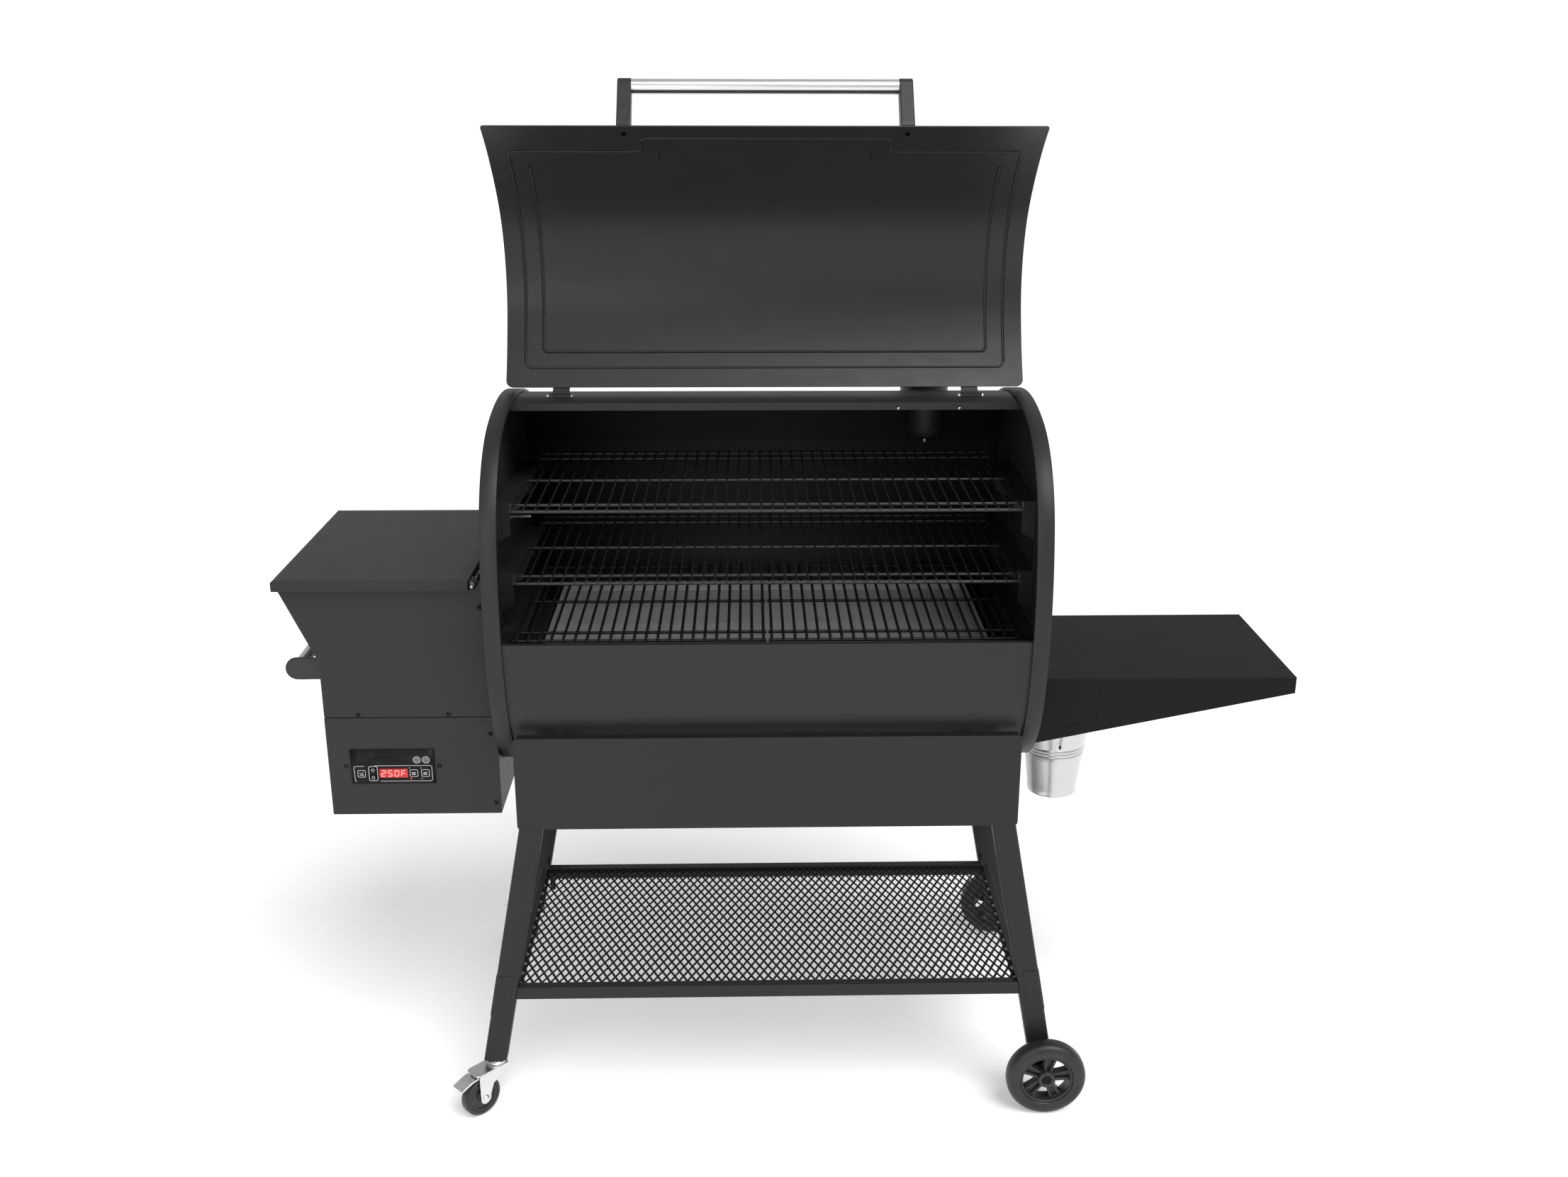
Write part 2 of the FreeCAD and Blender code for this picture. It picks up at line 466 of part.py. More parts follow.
def lid():
    """Lid parts, drawn closed about the hinge pin and then turned open."""
    shut = (0, "-hinge_y", "-hinge_z")
    opened = ((1, 0, 0), -size("lid_open"))
    pivot = (0, "hinge_y", "hinge_z")

    def section_slab(name, inset, depth):
        slab = disc(name, inset, depth)
        return spot(slab, *shut)

    gap = size("lid_gap")
    sheet_tube = carve("LidTube", section_slab("LidOuter", -gap - size("lid_sheet"), "2 * lid_half"),
                       [section_slab("LidInner", -gap, "2 * lid_half + 10")])
    region = box("LidRegion", "2 * lid_half + 2", "lid_rear_y + 420", "barrel_top_z - lid_front_z + 40",
                 "-lid_half - 1", "-420 - hinge_y", "lid_front_z - hinge_z")
    node(keep("Lid", sheet_tube, region), "lid", pivot, opened)

    arms = []
    for k, sign in enumerate((-1, 1)):
        path = [(-306.2, 992), (-306.2, 1046), (-314, 1046), (-330, 1026), (-397, 1025),
                ((-412, 1010), (-397, 995)), (-318, 992)]
        arm = plate("Arm%d" % k, "YZ", path, "arm_wide", "%d * (grip_half + arm_wide / 2 + 0.2)" % sign,
                    "-hinge_y", "-hinge_z")
        arms.append(arm)
    node(group("Arms", arms), "handle_arms", pivot, opened)
    grip = carve("GripCut", rod("Grip", "grip_radius", "2 * grip_half", "-grip_half", "grip_y - hinge_y",
                                "grip_z - hinge_z", "x"),
                 [rod("GripBore", "grip_radius - 1.5", "2 * grip_half + 4", "-grip_half - 2", "grip_y - hinge_y",
                      "grip_z - hinge_z", "x")])
    node(grip, "handle_tube", pivot, opened)

    leaves, bases = [], []
    for side in ("left", "right"):
        x = "hinge_%s_x" % side
        eye = [(-6, -2), (-7, 6), (-24, 11), (-58, 8.8), (-58, 11.8), (-24, 14), (1, 8.5), (6, 4), ((5, -4.4), (-6, -2))]
        leaf = plate("Leaf" + side, "YZ", eye, 22, x, 0, 0)
        leaves.append(carve("LeafCut" + side, leaf, [rod("LeafBore" + side, 3.1, 40, x + " - 20", 0, 0, "x")]))
        pieces = []
        for k, dx in enumerate((-15.5, 12.5)):
            ear = [(-9, -3.6), (-7, 0), ((0, 7), (7, 0)), (9, -3.6)]
            pieces.append(plate("Ear%s%d" % (side, k), "YZ", ear, 3, "%s + %s" % (x, dx + 1.5), "hinge_y", "hinge_z"))
            pieces.append(box("Foot%s%d" % (side, k), 27.3, 36, 2.9, x + (" - 40", " + 12.7")[k],
                              "hinge_y - 18", "hinge_z - 3.5"))
        pieces.append(rod("Pin" + side, 3, 40, x + " - 20", "hinge_y", "hinge_z", "x"))
        pieces.append(rod("PinHeadA" + side, 5, 3, x + " - 20", "hinge_y", "hinge_z", "x"))
        pieces.append(rod("PinHeadB" + side, 5, 3, x + " + 17", "hinge_y", "hinge_z", "x"))
        bases.append(join("HingeBase" + side, pieces))
    node(group("Leaves", leaves), "hinge_leaves", pivot, opened)
    node(group("Bases", bases), "hinge_bases")


# ------------------------------------------------------------- table and bucket

def side_table():
    mid_y = "(table_front_y + table_back_y) / 2"
    x0, x1, top = 500.4, size("table_out_x"), size("table_top_z")
    low_in, low_out = top - size("table_drop"), top - size("table_rim")
    outer = plate("TableOuter", "XZ", [(x0, top), (x1, top), (x1, low_out), (x0, low_in)],
                  "table_back_y - table_front_y", 0, mid_y)
    inner = plate("TableInner", "XZ", [(x0 + 2, top - 2), (x1 - 2, top - 2), (x1 - 2, 600), (x0 + 2, 600)],
                  "table_back_y - table_front_y - 4", 0, mid_y)
    gate = box("TableSpoutGap", 8, 60, 60, 498, "barrel_mid_y - 30", 700)
    slots = [box("TableSlot%d" % k, 14, 4, 8, "table_out_x - 18", y, "table_top_z - 4") for k, y in enumerate((-125, 138))]
    node(carve("Table", outer, [inner, gate] + slots), "side_table")


def bucket():
    x, y = "bucket_x", "barrel_mid_y"
    tall = "bucket_top_z - bucket_floor_z"
    outer = cone("PailOuter", "bucket_floor_radius", "bucket_top_radius", tall, x, y, "bucket_floor_z")
    inner = cone("PailInner", "bucket_floor_radius - 1", "bucket_top_radius - 1", tall, x, y, "bucket_floor_z + 1.2")
    rim = ring("PailRim", "bucket_top_radius", 2, x, y, "bucket_top_z - 1")
    ears = [box("PailEar%d" % k, 10, 6, 14, x + " - 5", place, "bucket_ear_z - 7") for k, place in
            enumerate((y + " - 66", y + " + 60"))]
    holes = [rod("PailEarHole", "bail_wire + 0.6", 170, x, y + " - 85", "bucket_ear_z", "y"), inner]
    node(carve("Pail", join("PailBody", [outer, rim] + ears), holes), "bucket")
    hoop = ring("BailRing", "bail_radius", "bail_wire", x, y, "bucket_ear_z", "x")
    upper = keep("BailHoop", hoop, box("BailRegion", 20, 170, 90, x + " - 10", y + " - 85", "bucket_ear_z"))
    hooks = [rod("BailHook%d" % k, "bail_wire", 16.5, x, place, "bucket_ear_z", "y") for k, place in
             enumerate((y + " - bail_radius", y + " + bail_radius - 16.5"))]
    node(join("Bail", [upper] + hooks), "bucket_bail")


# -------------------------------------------------------------------------- cart

def leg_x(z):
    """Outer edge of a splayed leg at height z."""
    return size("splay_top_x") + (size("splay_top_z") - z) * math.tan(math.radians(size("splay")))


def leg(name, sign, low, y):
    wide = size("leg_wide") / math.cos(math.radians(size("splay")))
    top = size("leg_top_z")

    def band(inset, extra):
        high, foot = top + extra, low - extra
        pts = [(leg_x(high) - inset, high), (leg_x(foot) - inset, foot),
               (leg_x(foot) - wide + inset, foot), (leg_x(high) - wide + inset, high)]
        return [(sign * x, z) for x, z in pts]

    return carve(name, plate(name + "Outer", "XZ", band(0, 0), "leg_deep", 0, y),
                 [plate(name + "Inner", "XZ", band(2, 20), "leg_deep - 4", 0, y)])


def cart():
    low = size("caster_leg_low")
    left = [leg("LegFL", -1, low, "leg_front_y"), leg("LegRL", -1, low, "leg_rear_y")]
    node(group("LegsLeft", left), "legs_left")
    right = []
    for name, y in (("LegFR", "leg_front_y"), ("LegRR", "leg_rear_y")):
        bore = rod(name + "Bore", 5.2, 80, "wheel_x", y + " - 40", "wheel_radius", "y")
        right.append(carve(name + "Cut", leg(name, 1, 55, y), [bore]))
    node(group("LegsRight", right), "legs_right")

    # skirt: front and rear panels, and two saddles cut to the barrel's belly
    tall = "skirt_high_z - skirt_low_z"
    pieces = [box("SkirtFront", "2 * skirt_half", 2, tall, "-skirt_half", -267.3, "skirt_low_z"),
              box("SkirtRear", "2 * skirt_half", 2, tall, "-skirt_half", 345.3, "skirt_low_z"),
              box("SkirtLedgeFront", "2 * skirt_half", 20, 2, "-skirt_half", -267.3, "skirt_high_z - 2"),
              box("SkirtLedgeRear", "2 * skirt_half", 40, 2, "-skirt_half", 307.3, "skirt_high_z - 2")]
    for k, x in enumerate((-380, 377)):
        pieces.append(box("Saddle%d" % k, 3, 614, 120, x, -267.3, 660))
    belly = disc("SkirtBelly", -0.3, 1000)
    node(carve("Skirt", join("SkirtBody", pieces), [belly]), "skirt_frame")

    # shelf: rails round the edge and side rails out to the rear legs
    half = leg_x(size("shelf_z")) - 46
    rails = [box("RailFront", 2 * half, 20, 25, -half, "leg_front_y - 15", "shelf_z - 25"),
             box("RailBack", 2 * half, 20, 25, -half, "shelf_back_y - 6", "shelf_z - 25")]
    for k, x in enumerate((-half, half - 16)):
        rails.append(box("RailSide%d" % k, 16, 580, 25, x, "leg_front_y - 1", "shelf_z - 25"))
    node(join("ShelfRails", rails), "shelf_frame")
    node(mesh_panel(half - 17), "shelf_mesh")

    bolts = []
    for k, (y, nose) in enumerate((("leg_front_y - 60", -1), ("leg_rear_y - 16", 1))):
        bolts.append(join("Axle%d" % k, [
            rod("AxleRod%d" % k, 5, 76, "wheel_x", y, "wheel_radius", "y"),
            rod("AxleHead%d" % k, 9, 5, "wheel_x", y if nose < 0 else y + " + 71", "wheel_radius", "y"),
            rod("AxleNut%d" % k, 9, 5, "wheel_x",
                "leg_front_y + 15.2" if nose < 0 else "leg_rear_y - 20.2", "wheel_radius", "y")]))
    bolts[0] = join("AxleLong0", [bolts[0], rod("AxleTail0", 5, 24, "wheel_x", "leg_front_y - 2", "wheel_radius", "y")])
    bolts[1] = join("AxleLong1", [bolts[1], rod("AxleTail1", 5, 24, "wheel_x", "leg_rear_y - 20", "wheel_radius", "y")])
    node(group("Axles", bolts), "axle_bolts")
    for label, y in (("front", "leg_front_y - 63"), ("rear", "leg_rear_y + 26")):
        node(wheel(label, y, 0 if label == "front" else 1), "wheel_" + label)
    for label, y, swing in (("front", "leg_front_y", 225), ("rear", "leg_rear_y", 140)):
        caster(label, y, swing)


def mesh_panel(half):
    """Expanded mesh: one thin sheet pierced by rows of diamonds."""
    front, back = size("leg_front_y") + 5.4, size("shelf_back_y") - 6.4
    z = size("shelf_z") - 8
    columns, rows = 24, 11
    step_x, step_y = 2 * half / columns, (back - front) / rows
    wires = [Part.makePolygon([FreeCAD.Vector(x, y, z) for x, y in
                               ((-half, front), (half, front), (half, back), (-half, back), (-half, front))])]
    for row in range(2 * rows - 1):
        count = columns if row % 2 == 0 else columns - 1
        for column in range(count):
            x = -half + step_x * (column + (0.5 if row % 2 == 0 else 1.0))
            y = front + step_y * (row / 2 + 0.5)
            dx, dy = step_x / 2 - 3, step_y / 2 - 3
            ends = ((x - dx, y), (x, y - dy), (x + dx, y), (x, y + dy), (x - dx, y))
            wires.append(Part.makePolygon([FreeCAD.Vector(a, b, z) for a, b in ends]))
    obj = doc.addObject("Part::Feature", "Mesh")
    obj.Shape = Part.makeFace(wires, "Part::FaceMakerBullseye").extrude(FreeCAD.Vector(0, 0, 2))
    return obj


def wheel(label, y, outer):
    """Spoked wheel and its tyre, turning about Y; y is the front face, outer the hub's recessed end."""
    x, z, wide = "wheel_x", "wheel_radius", "wheel_wide"

    def bar(name, radius, length, shift=0):
        return rod(name + label, radius, length, x, "%s + %s" % (y, shift), z, "y")

    rim = carve("Rim" + label, bar("RimOuter", 60, wide + " - 8", 4), [bar("RimInner", 53, wide, 0)])
    pieces = [rim, bar("Hub", 17, wide + " - 4", 2)]
    for k in range(5):
        turn = FreeCAD.Rotation(FreeCAD.Vector(0, 1, 0), 72 * k)
        for j, dx in enumerate((-9, 4)):
            offset = turn.multVec(FreeCAD.Vector(dx, 0, 12))
            arm = box("Spoke%s%d%d" % (label, k, j), 5, 16, 43, 0, 0, 0)
            arm.Placement = FreeCAD.Placement(FreeCAD.Vector(), turn)
            spot(arm, "%s + (%.4f)" % (x, offset.x), y + " + 8", "%s + (%.4f)" % (z, offset.z))
            pieces.append(arm)
    body = carve("WheelRim" + label, join("WheelBody" + label, pieces),
                 [bar("WheelBore", 5.1, 80, -20), bar("HubRecess", 9.6, 10, (-1, 28)[outer])])
    tyre = carve("TyreCut" + label,
                 join("TyreBody" + label, [bar("TyreTread", "wheel_radius", wide + " - 12", 6),
                                           bar("TyreWall", "wheel_radius - 4", wide, 0)]),
                 [bar("TyreSeat", 60.06, wide + " + 2", -1)])
    return group("Wheel" + label, [body, tyre])


def caster(label, y, swing):
    """Swivel caster under a left leg; swing is the compass turn of its trail."""
    foot_x = -(leg_x(size("caster_leg_low")) - size("leg_wide") / 2 - 0.4)
    turn = ((0, 0, 1), swing)
    pivot = (foot_x, y, 0)
    axle_z, trail, mid = "caster_radius", "caster_trail", size("caster_trail")
    crown = [rod("ForkStem" + label, 8, 34, 0, 0, 104), rod("ForkRace" + label, 19, 9, 0, 0, 96),
             box("ForkTop" + label, mid + 18, 38, 3, -18, -19, 93)]
    for k, side in enumerate((-1, 1)):
        cheek = [(-16, 95), (mid + 8, 95), (mid + 9, 78), (mid + 11, 40), ((mid, 28), (mid - 11, 40))]
        crown.append(plate("Cheek%s%d" % (label, k), "XZ", cheek, 2.5, 0, side * 17.5, 0))
    bores = [rod("ForkBore" + label, 4.1, 80, trail, -40, axle_z, "y"),
             rod("PedalBore" + label, 2.1, 80, trail, -40, 86, "y")]
    node(carve("Fork" + label, join("ForkBody" + label, crown), bores), "caster_fork_" + label, pivot, turn)
    tread = carve("CasterCut" + label,
                  join("CasterBody" + label, [rod("CasterTread" + label, axle_z, "caster_wide - 6", trail,
                                                  "-caster_wide / 2 + 3", axle_z, "y"),
                                              rod("CasterFace" + label, "caster_radius - 4", "caster_wide", trail,
                                                  "-caster_wide / 2", axle_z, "y")]),
                  [rod("CasterDish%s%d" % (label, k), 24, 4, trail, place, axle_z, "y")
                   for k, place in enumerate(("-caster_wide / 2 - 1", "caster_wide / 2 - 3"))])
    pin = rod("CasterPin" + label, 4, 44, trail, -22, axle_z, "y")
    node(join("CasterWheel" + label, [tread, pin]), "caster_wheel_" + label, pivot, turn)
    pad = [(mid - 3, 84), (mid + 4, 84), (mid + 12, 87.5), (mid + 52, 77), (mid + 52, 80), (mid + 12, 91),
           (mid - 3, 88)]
    pedal = [plate("PedalPad" + label, "XZ", pad, 31, 0, 0, 0), rod("PedalPin" + label, 2, 42, trail, -21, 86, "y")]
    node(join("Pedal" + label, pedal), "caster_pedal_" + label, pivot, turn)


# --------------------------------------------------------------- screws and save

def screws():
    """Small pan-head screws fixed to the body, all of one kind."""
    y = "bin_front_y - 2.3"
    heads = [(-755, 820), (-589, 820), (-521, 1028), (-515, 780), (-512, 639), (-786, 716), (-613, 716)]
    rows = [rod("Screw%d" % k, 3, 2, x, y, z, "y") for k, (x, z) in enumerate(heads)]
    node(group("Screws", rows), "body_screws")


barrel()
rack_brackets()
cooking_surfaces()
fire_and_feed()
chimney()
hopper()
lid()
side_table()
bucket()
cart()
screws()
doc.recompute()

os.makedirs("parts", exist_ok=True)
for old in os.listdir("parts"):
    os.remove(os.path.join("parts", old))
for obj in doc.Objects:
    if "Invalid" in obj.State or "Error" in obj.State:
        raise RuntimeError("%s does not build: %s" % (obj.Name, obj.State))
whole = FreeCAD.BoundBox()
for obj in NODES:
    shape = obj.Shape
    if shape.isNull() or not shape.isValid() or not shape.Solids:
        raise RuntimeError("%s has no sound shape" % obj.Label)
    shape.exportStep("parts/%s.step" % obj.Label)
    whole.add(shape.BoundBox)
print(len(NODES), "nodes, box", whole)
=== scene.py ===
"""Visual model of a pellet smoker grill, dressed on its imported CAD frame."""
import logging
import math
from collections.abc import Callable
from dataclasses import dataclass, field
from enum import Enum

import bmesh
import bpy
from mathutils import Matrix, Vector


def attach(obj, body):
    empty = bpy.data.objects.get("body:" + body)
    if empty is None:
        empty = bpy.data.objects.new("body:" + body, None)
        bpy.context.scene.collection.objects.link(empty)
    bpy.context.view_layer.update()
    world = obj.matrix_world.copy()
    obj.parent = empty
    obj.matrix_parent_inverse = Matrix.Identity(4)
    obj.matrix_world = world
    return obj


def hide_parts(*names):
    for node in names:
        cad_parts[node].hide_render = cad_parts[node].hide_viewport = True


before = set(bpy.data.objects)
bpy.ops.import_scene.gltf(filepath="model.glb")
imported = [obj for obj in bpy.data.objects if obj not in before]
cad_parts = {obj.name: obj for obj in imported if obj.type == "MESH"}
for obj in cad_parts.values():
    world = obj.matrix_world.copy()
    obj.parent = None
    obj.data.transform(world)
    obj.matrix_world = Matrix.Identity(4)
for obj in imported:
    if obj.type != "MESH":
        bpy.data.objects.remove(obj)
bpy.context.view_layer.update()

LOG = logging.getLogger("grill")

# Working millimetres have X = 0 at the barrel's middle; this is their place in the part's frame.
SHIFT = Vector((-53.25, -78.3, 0.0))
HINGE = Vector((0.0, 36.0, 1362.0))
LID_OPEN = math.radians(-126.0)
Point = tuple[float, float]


class Axis(Enum):
    """The axis that an outline runs along, a profile turns about or a panel faces."""

    X = 0
    Y = 1
    Z = 2

    def place(self, along: float, first: float, second: float) -> Vector:
        """A point from its place along this axis and its two others, in their X, Y, Z order.

        Args:
            along: The place along this axis.
            first: The first other coordinate.
            second: The second other coordinate.

        Returns:
            The point.
        """
        values = [first, second]
        values.insert(self.value, along)
        return Vector(values)


class Side(Enum):
    """A side of the grill, with the word that its pieces' names use."""

    LEFT = "left"
    RIGHT = "right"
    FRONT = "front"
    REAR = "rear"

    def sign(self) -> float:
        """Which way the side faces along its axis: -1 for the left and the front, else 1."""
        return -1.0 if self in (Side.LEFT, Side.FRONT) else 1.0


class Key(Enum):
    """A key of the control panel, with the word that its pieces' names use."""

    POWER = "power"
    UP = "up"
    DOWN = "down"
    MODE = "mode"
    PRIME = "prime"


def to_frame(turn: Matrix | None = None) -> Matrix:
    """The matrix from working millimetres to the part's frame in metres.

    Args:
        turn: A move made first, in working millimetres.

    Returns:
        The combined matrix.
    """
    base = Matrix.Scale(0.001, 4) @ Matrix.Translation(SHIFT)
    return base @ turn if turn else base


def about(pivot: Vector, angle: float, axis: Axis) -> Matrix:
    """A turn by an angle about an axis through a pivot."""
    return Matrix.Translation(pivot) @ Matrix.Rotation(angle, 4, axis.name) @ Matrix.Translation(-pivot)


LID_TURN = about(HINGE, LID_OPEN, Axis.X)


# ------------------------------------------------------------------ finishes

class Graph:
    """A small helper that wires one material's nodes."""

    def __init__(self, name: str) -> None:
        """Start a material with a principled shader.

        Args:
            name: The material's name.
        """
        self.material = bpy.data.materials.new(name)
        self.material.use_nodes = True
        self.tree = self.material.node_tree
        self.shader = self.tree.nodes["Principled BSDF"]
        self.coords = self.tree.nodes.new("ShaderNodeTexCoord")

    def put(self, **values: object) -> None:
        """Set constants on the shader's sockets by their names, with _ for a space."""
        for key, value in values.items():
            self.shader.inputs[key.replace("_", " ")].default_value = value

    def link(self, source: object, target: object) -> None:
        """Join an output socket to an input socket."""
        self.tree.links.new(source, target)

    def stretched(self, stretch: tuple[float, float, float]) -> object:
        """Object coordinates scaled by a different amount on each axis.

        Args:
            stretch: The scale on each axis.

        Returns:
            The scaled coordinates' output.
        """
        node = self.tree.nodes.new("ShaderNodeMapping")
        node.inputs["Scale"].default_value = stretch
        self.link(self.coords.outputs["Object"], node.inputs["Vector"])
        return node.outputs["Vector"]

    def noise(self, scale: float, detail: float = 3.0, stretch: tuple[float, float, float] | None = None,
              rough: float = 0.55) -> object:
        """A noise texture over object space.

        Args:
            scale: Cells to the metre.
            detail: Octaves.
            stretch: Optional scale on each axis.
            rough: How strong the fine octaves are.

        Returns:
            The noise's value output.
        """
        node = self.tree.nodes.new("ShaderNodeTexNoise")
        node.inputs["Scale"].default_value = scale
        node.inputs["Detail"].default_value = detail
        node.inputs["Roughness"].default_value = rough
        vector = self.stretched(stretch) if stretch else self.coords.outputs["Object"]
        self.link(vector, node.inputs["Vector"])
        return node.outputs["Fac"]

    def cells(self, scale: float, output: str = "Color") -> object:
        """A texture of cells over object space.

        Args:
            scale: Cells to the metre.
            output: Which of the texture's outputs to use.

        Returns:
            That output.
        """
        node = self.tree.nodes.new("ShaderNodeTexVoronoi")
        node.inputs["Scale"].default_value = scale
        self.link(self.coords.outputs["Object"], node.inputs["Vector"])
        return node.outputs[output]

    def ramp(self, source: object, low: tuple, high: tuple, start: float = 0.3, end: float = 0.7) -> object:
        """A colour ramp between two colours.

        Args:
            source: The value that drives it.
            low: The colour up to the start.
            high: The colour from the end on.
            start: Where the ramp starts.
            end: Where the ramp ends.

        Returns:
            The ramp's colour output.
        """
        node = self.tree.nodes.new("ShaderNodeValToRGB")
        node.color_ramp.elements[0].position, node.color_ramp.elements[1].position = start, end
        node.color_ramp.elements[0].color = (*low, 1.0)
        node.color_ramp.elements[1].color = (*high, 1.0)
        self.link(source, node.inputs["Fac"])
        return node.outputs["Color"]

    def spread(self, source: object, low: float, high: float) -> object:
        """Map the middle of a noise's range onto a range of values.

        Args:
            source: The noise's value.
            low: What 0.3 becomes.
            high: What 0.7 becomes.

        Returns:
            The mapped value's output.
        """
        node = self.tree.nodes.new("ShaderNodeMapRange")
        node.inputs["From Min"].default_value, node.inputs["From Max"].default_value = 0.3, 0.7
        node.inputs["To Min"].default_value, node.inputs["To Max"].default_value = low, high
        self.link(source, node.inputs["Value"])
        return node.outputs["Result"]

    def blend(self, factor: object, first: object, second: object) -> object:
        """Mix two colours.

        Args:
            factor: The share of the second.
            first: The first colour, as a tuple or an output.
            second: The second colour, as a tuple or an output.

        Returns:
            The mixed colour's output.
        """
        node = self.tree.nodes.new("ShaderNodeMix")
        node.data_type = "RGBA"
        self.link(factor, node.inputs["Factor"])
        for socket, value in ((node.inputs[6], first), (node.inputs[7], second)):
            if isinstance(value, tuple):
                socket.default_value = (*value, 1.0)
            else:
                self.link(value, socket)
        return node.outputs[2]

    def bump(self, *layers: tuple[object, float, float]) -> None:
        """Stack bump layers on the shader.

        Args:
            layers: Each layer's height output, strength and depth in metres.
        """
        last = None
        for height, strength, depth in layers:
            node = self.tree.nodes.new("ShaderNodeBump")
            node.inputs["Strength"].default_value = strength
            node.inputs["Distance"].default_value = depth
            self.link(height, node.inputs["Height"])
            if last:
                self.link(last, node.inputs["Normal"])
            last = node.outputs["Normal"]
        self.link(last, self.shader.inputs["Normal"])


@dataclass(frozen=True)
class PowderCoat:
    """Fine-textured baked paint on steel, with faint dust and handling marks."""

    name: str
    colour: tuple[float, float, float]
    shade: float = 0.12
    gloss: tuple[float, float] = (0.43, 0.47)
    grain: float = 0.35
    specular: float = 0.35

    def build(self) -> bpy.types.Material:
        """Make the material.

        Returns:
            The material.
        """
        g = Graph(self.name)
        dark = tuple(c * (1 - self.shade * 0.5) for c in self.colour)
        light = tuple(c * (1 + self.shade * 0.35) for c in self.colour)
        cloud = g.ramp(g.noise(5.0, 5.0), dark, light, 0.25, 0.75)
        speck = g.ramp(g.noise(1900.0, 2.0), (0.0, 0.0, 0.0), (1.0, 1.0, 1.0), 0.60, 0.72)
        fleck = tuple(min(1.0, c * 1.4 + 0.004) for c in self.colour)
        g.link(g.blend(speck, cloud, fleck), g.shader.inputs["Base Color"])
        smear = g.noise(14.0, 6.0, (1.0, 1.0, 2.6), 0.65)
        g.link(g.spread(smear, *self.gloss), g.shader.inputs["Roughness"])
        g.put(Specular_IOR_Level=self.specular)
        g.bump((g.noise(1400.0, 3.0), self.grain, 0.00006), (g.noise(22.0, 2.0), 0.02, 0.0006))
        return g.material


@dataclass(frozen=True)
class Metal:
    """Bare, plated or rolled metal with a drawn grain."""

    name: str
    colour: tuple[float, float, float]
    gloss: tuple[float, float] = (0.2, 0.35)
    stretch: tuple[float, float, float] = (1.0, 40.0, 40.0)
    grain: float = 0.15
    soil: float = 0.25
    metallic: float = 1.0

    def build(self) -> bpy.types.Material:
        """Make the material.

        Returns:
            The material.
        """
        g = Graph(self.name)
        dull = tuple(c * (1 - self.soil) for c in self.colour)
        stain = g.ramp(g.noise(9.0, 6.0, None, 0.65), dull, self.colour, 0.3, 0.62)
        lines = g.noise(30.0, 4.0, self.stretch)
        fine = g.ramp(lines, tuple(c * 0.86 for c in self.colour),
                      tuple(min(1, c * 1.06) for c in self.colour))
        g.link(g.blend(g.noise(3.0, 2.0), stain, fine), g.shader.inputs["Base Color"])
        g.link(g.spread(lines, *self.gloss), g.shader.inputs["Roughness"])
        g.put(Metallic=self.metallic)
        g.bump((lines, self.grain, 0.00004), (g.noise(700.0, 2.0), self.grain * 0.6, 0.00003))
        return g.material


@dataclass(frozen=True)
class Galvanised:
    """Zinc-dipped sheet with spangles."""

    name: str
    colour: tuple[float, float, float] = (0.62, 0.615, 0.61)

    def build(self) -> bpy.types.Material:
        """Make the material.

        Returns:
            The material.
        """
        g = Graph(self.name)
        spangle = g.ramp(g.cells(160.0), tuple(c * 0.96 for c in self.colour), self.colour, 0.1, 0.9)
        dull, bright = (tuple(c * share for c in self.colour) for share in (0.95, 1.03))
        haze = g.ramp(g.noise(16.0, 5.0), dull, bright)
        g.link(g.blend(g.noise(40.0, 3.0), spangle, haze), g.shader.inputs["Base Color"])
        g.link(g.spread(g.noise(90.0, 4.0), 0.27, 0.32), g.shader.inputs["Roughness"])
        g.put(Metallic=1.0)
        g.bump((g.cells(160.0, "Distance"), 0.03, 0.00005), (g.noise(900.0, 2.0), 0.06, 0.00003))
        return g.material


@dataclass(frozen=True)
class Moulded:
    """Moulded rubber or plastic with a fine skin."""

    name: str
    colour: tuple[float, float, float]
    gloss: tuple[float, float] = (0.35, 0.5)
    grain: float = 0.3
    dust: float = 0.03
    specular: float = 0.45

    def build(self) -> bpy.types.Material:
        """Make the material.

        Returns:
            The material.
        """
        g = Graph(self.name)
        g.put(Specular_IOR_Level=self.specular)
        dusty = tuple(c + self.dust for c in self.colour)
        cloud = g.ramp(g.noise(24.0, 6.0, None, 0.7), self.colour, dusty, 0.42, 0.8)
        g.link(cloud, g.shader.inputs["Base Color"])
        g.link(g.spread(g.noise(60.0, 4.0), *self.gloss), g.shader.inputs["Roughness"])
        g.bump((g.noise(1200.0, 3.0), self.grain, 0.00005), (g.noise(80.0, 2.0), 0.1, 0.0002))
        return g.material


@dataclass(frozen=True)
class Lit:
    """A glowing surface with a slight unevenness."""

    name: str
    colour: tuple[float, float, float]
    strength: float

    def build(self) -> bpy.types.Material:
        """Make the material.

        Returns:
            The material.
        """
        g = Graph(self.name)
        glow = g.ramp(g.noise(700.0, 2.0), tuple(c * 0.8 for c in self.colour), self.colour)
        g.link(glow, g.shader.inputs["Base Color"])
        g.link(glow, g.shader.inputs["Emission Color"])
        g.link(g.spread(g.noise(300.0, 2.0), 0.2, 0.35), g.shader.inputs["Roughness"])
        g.put(Emission_Strength=self.strength)
        return g.material


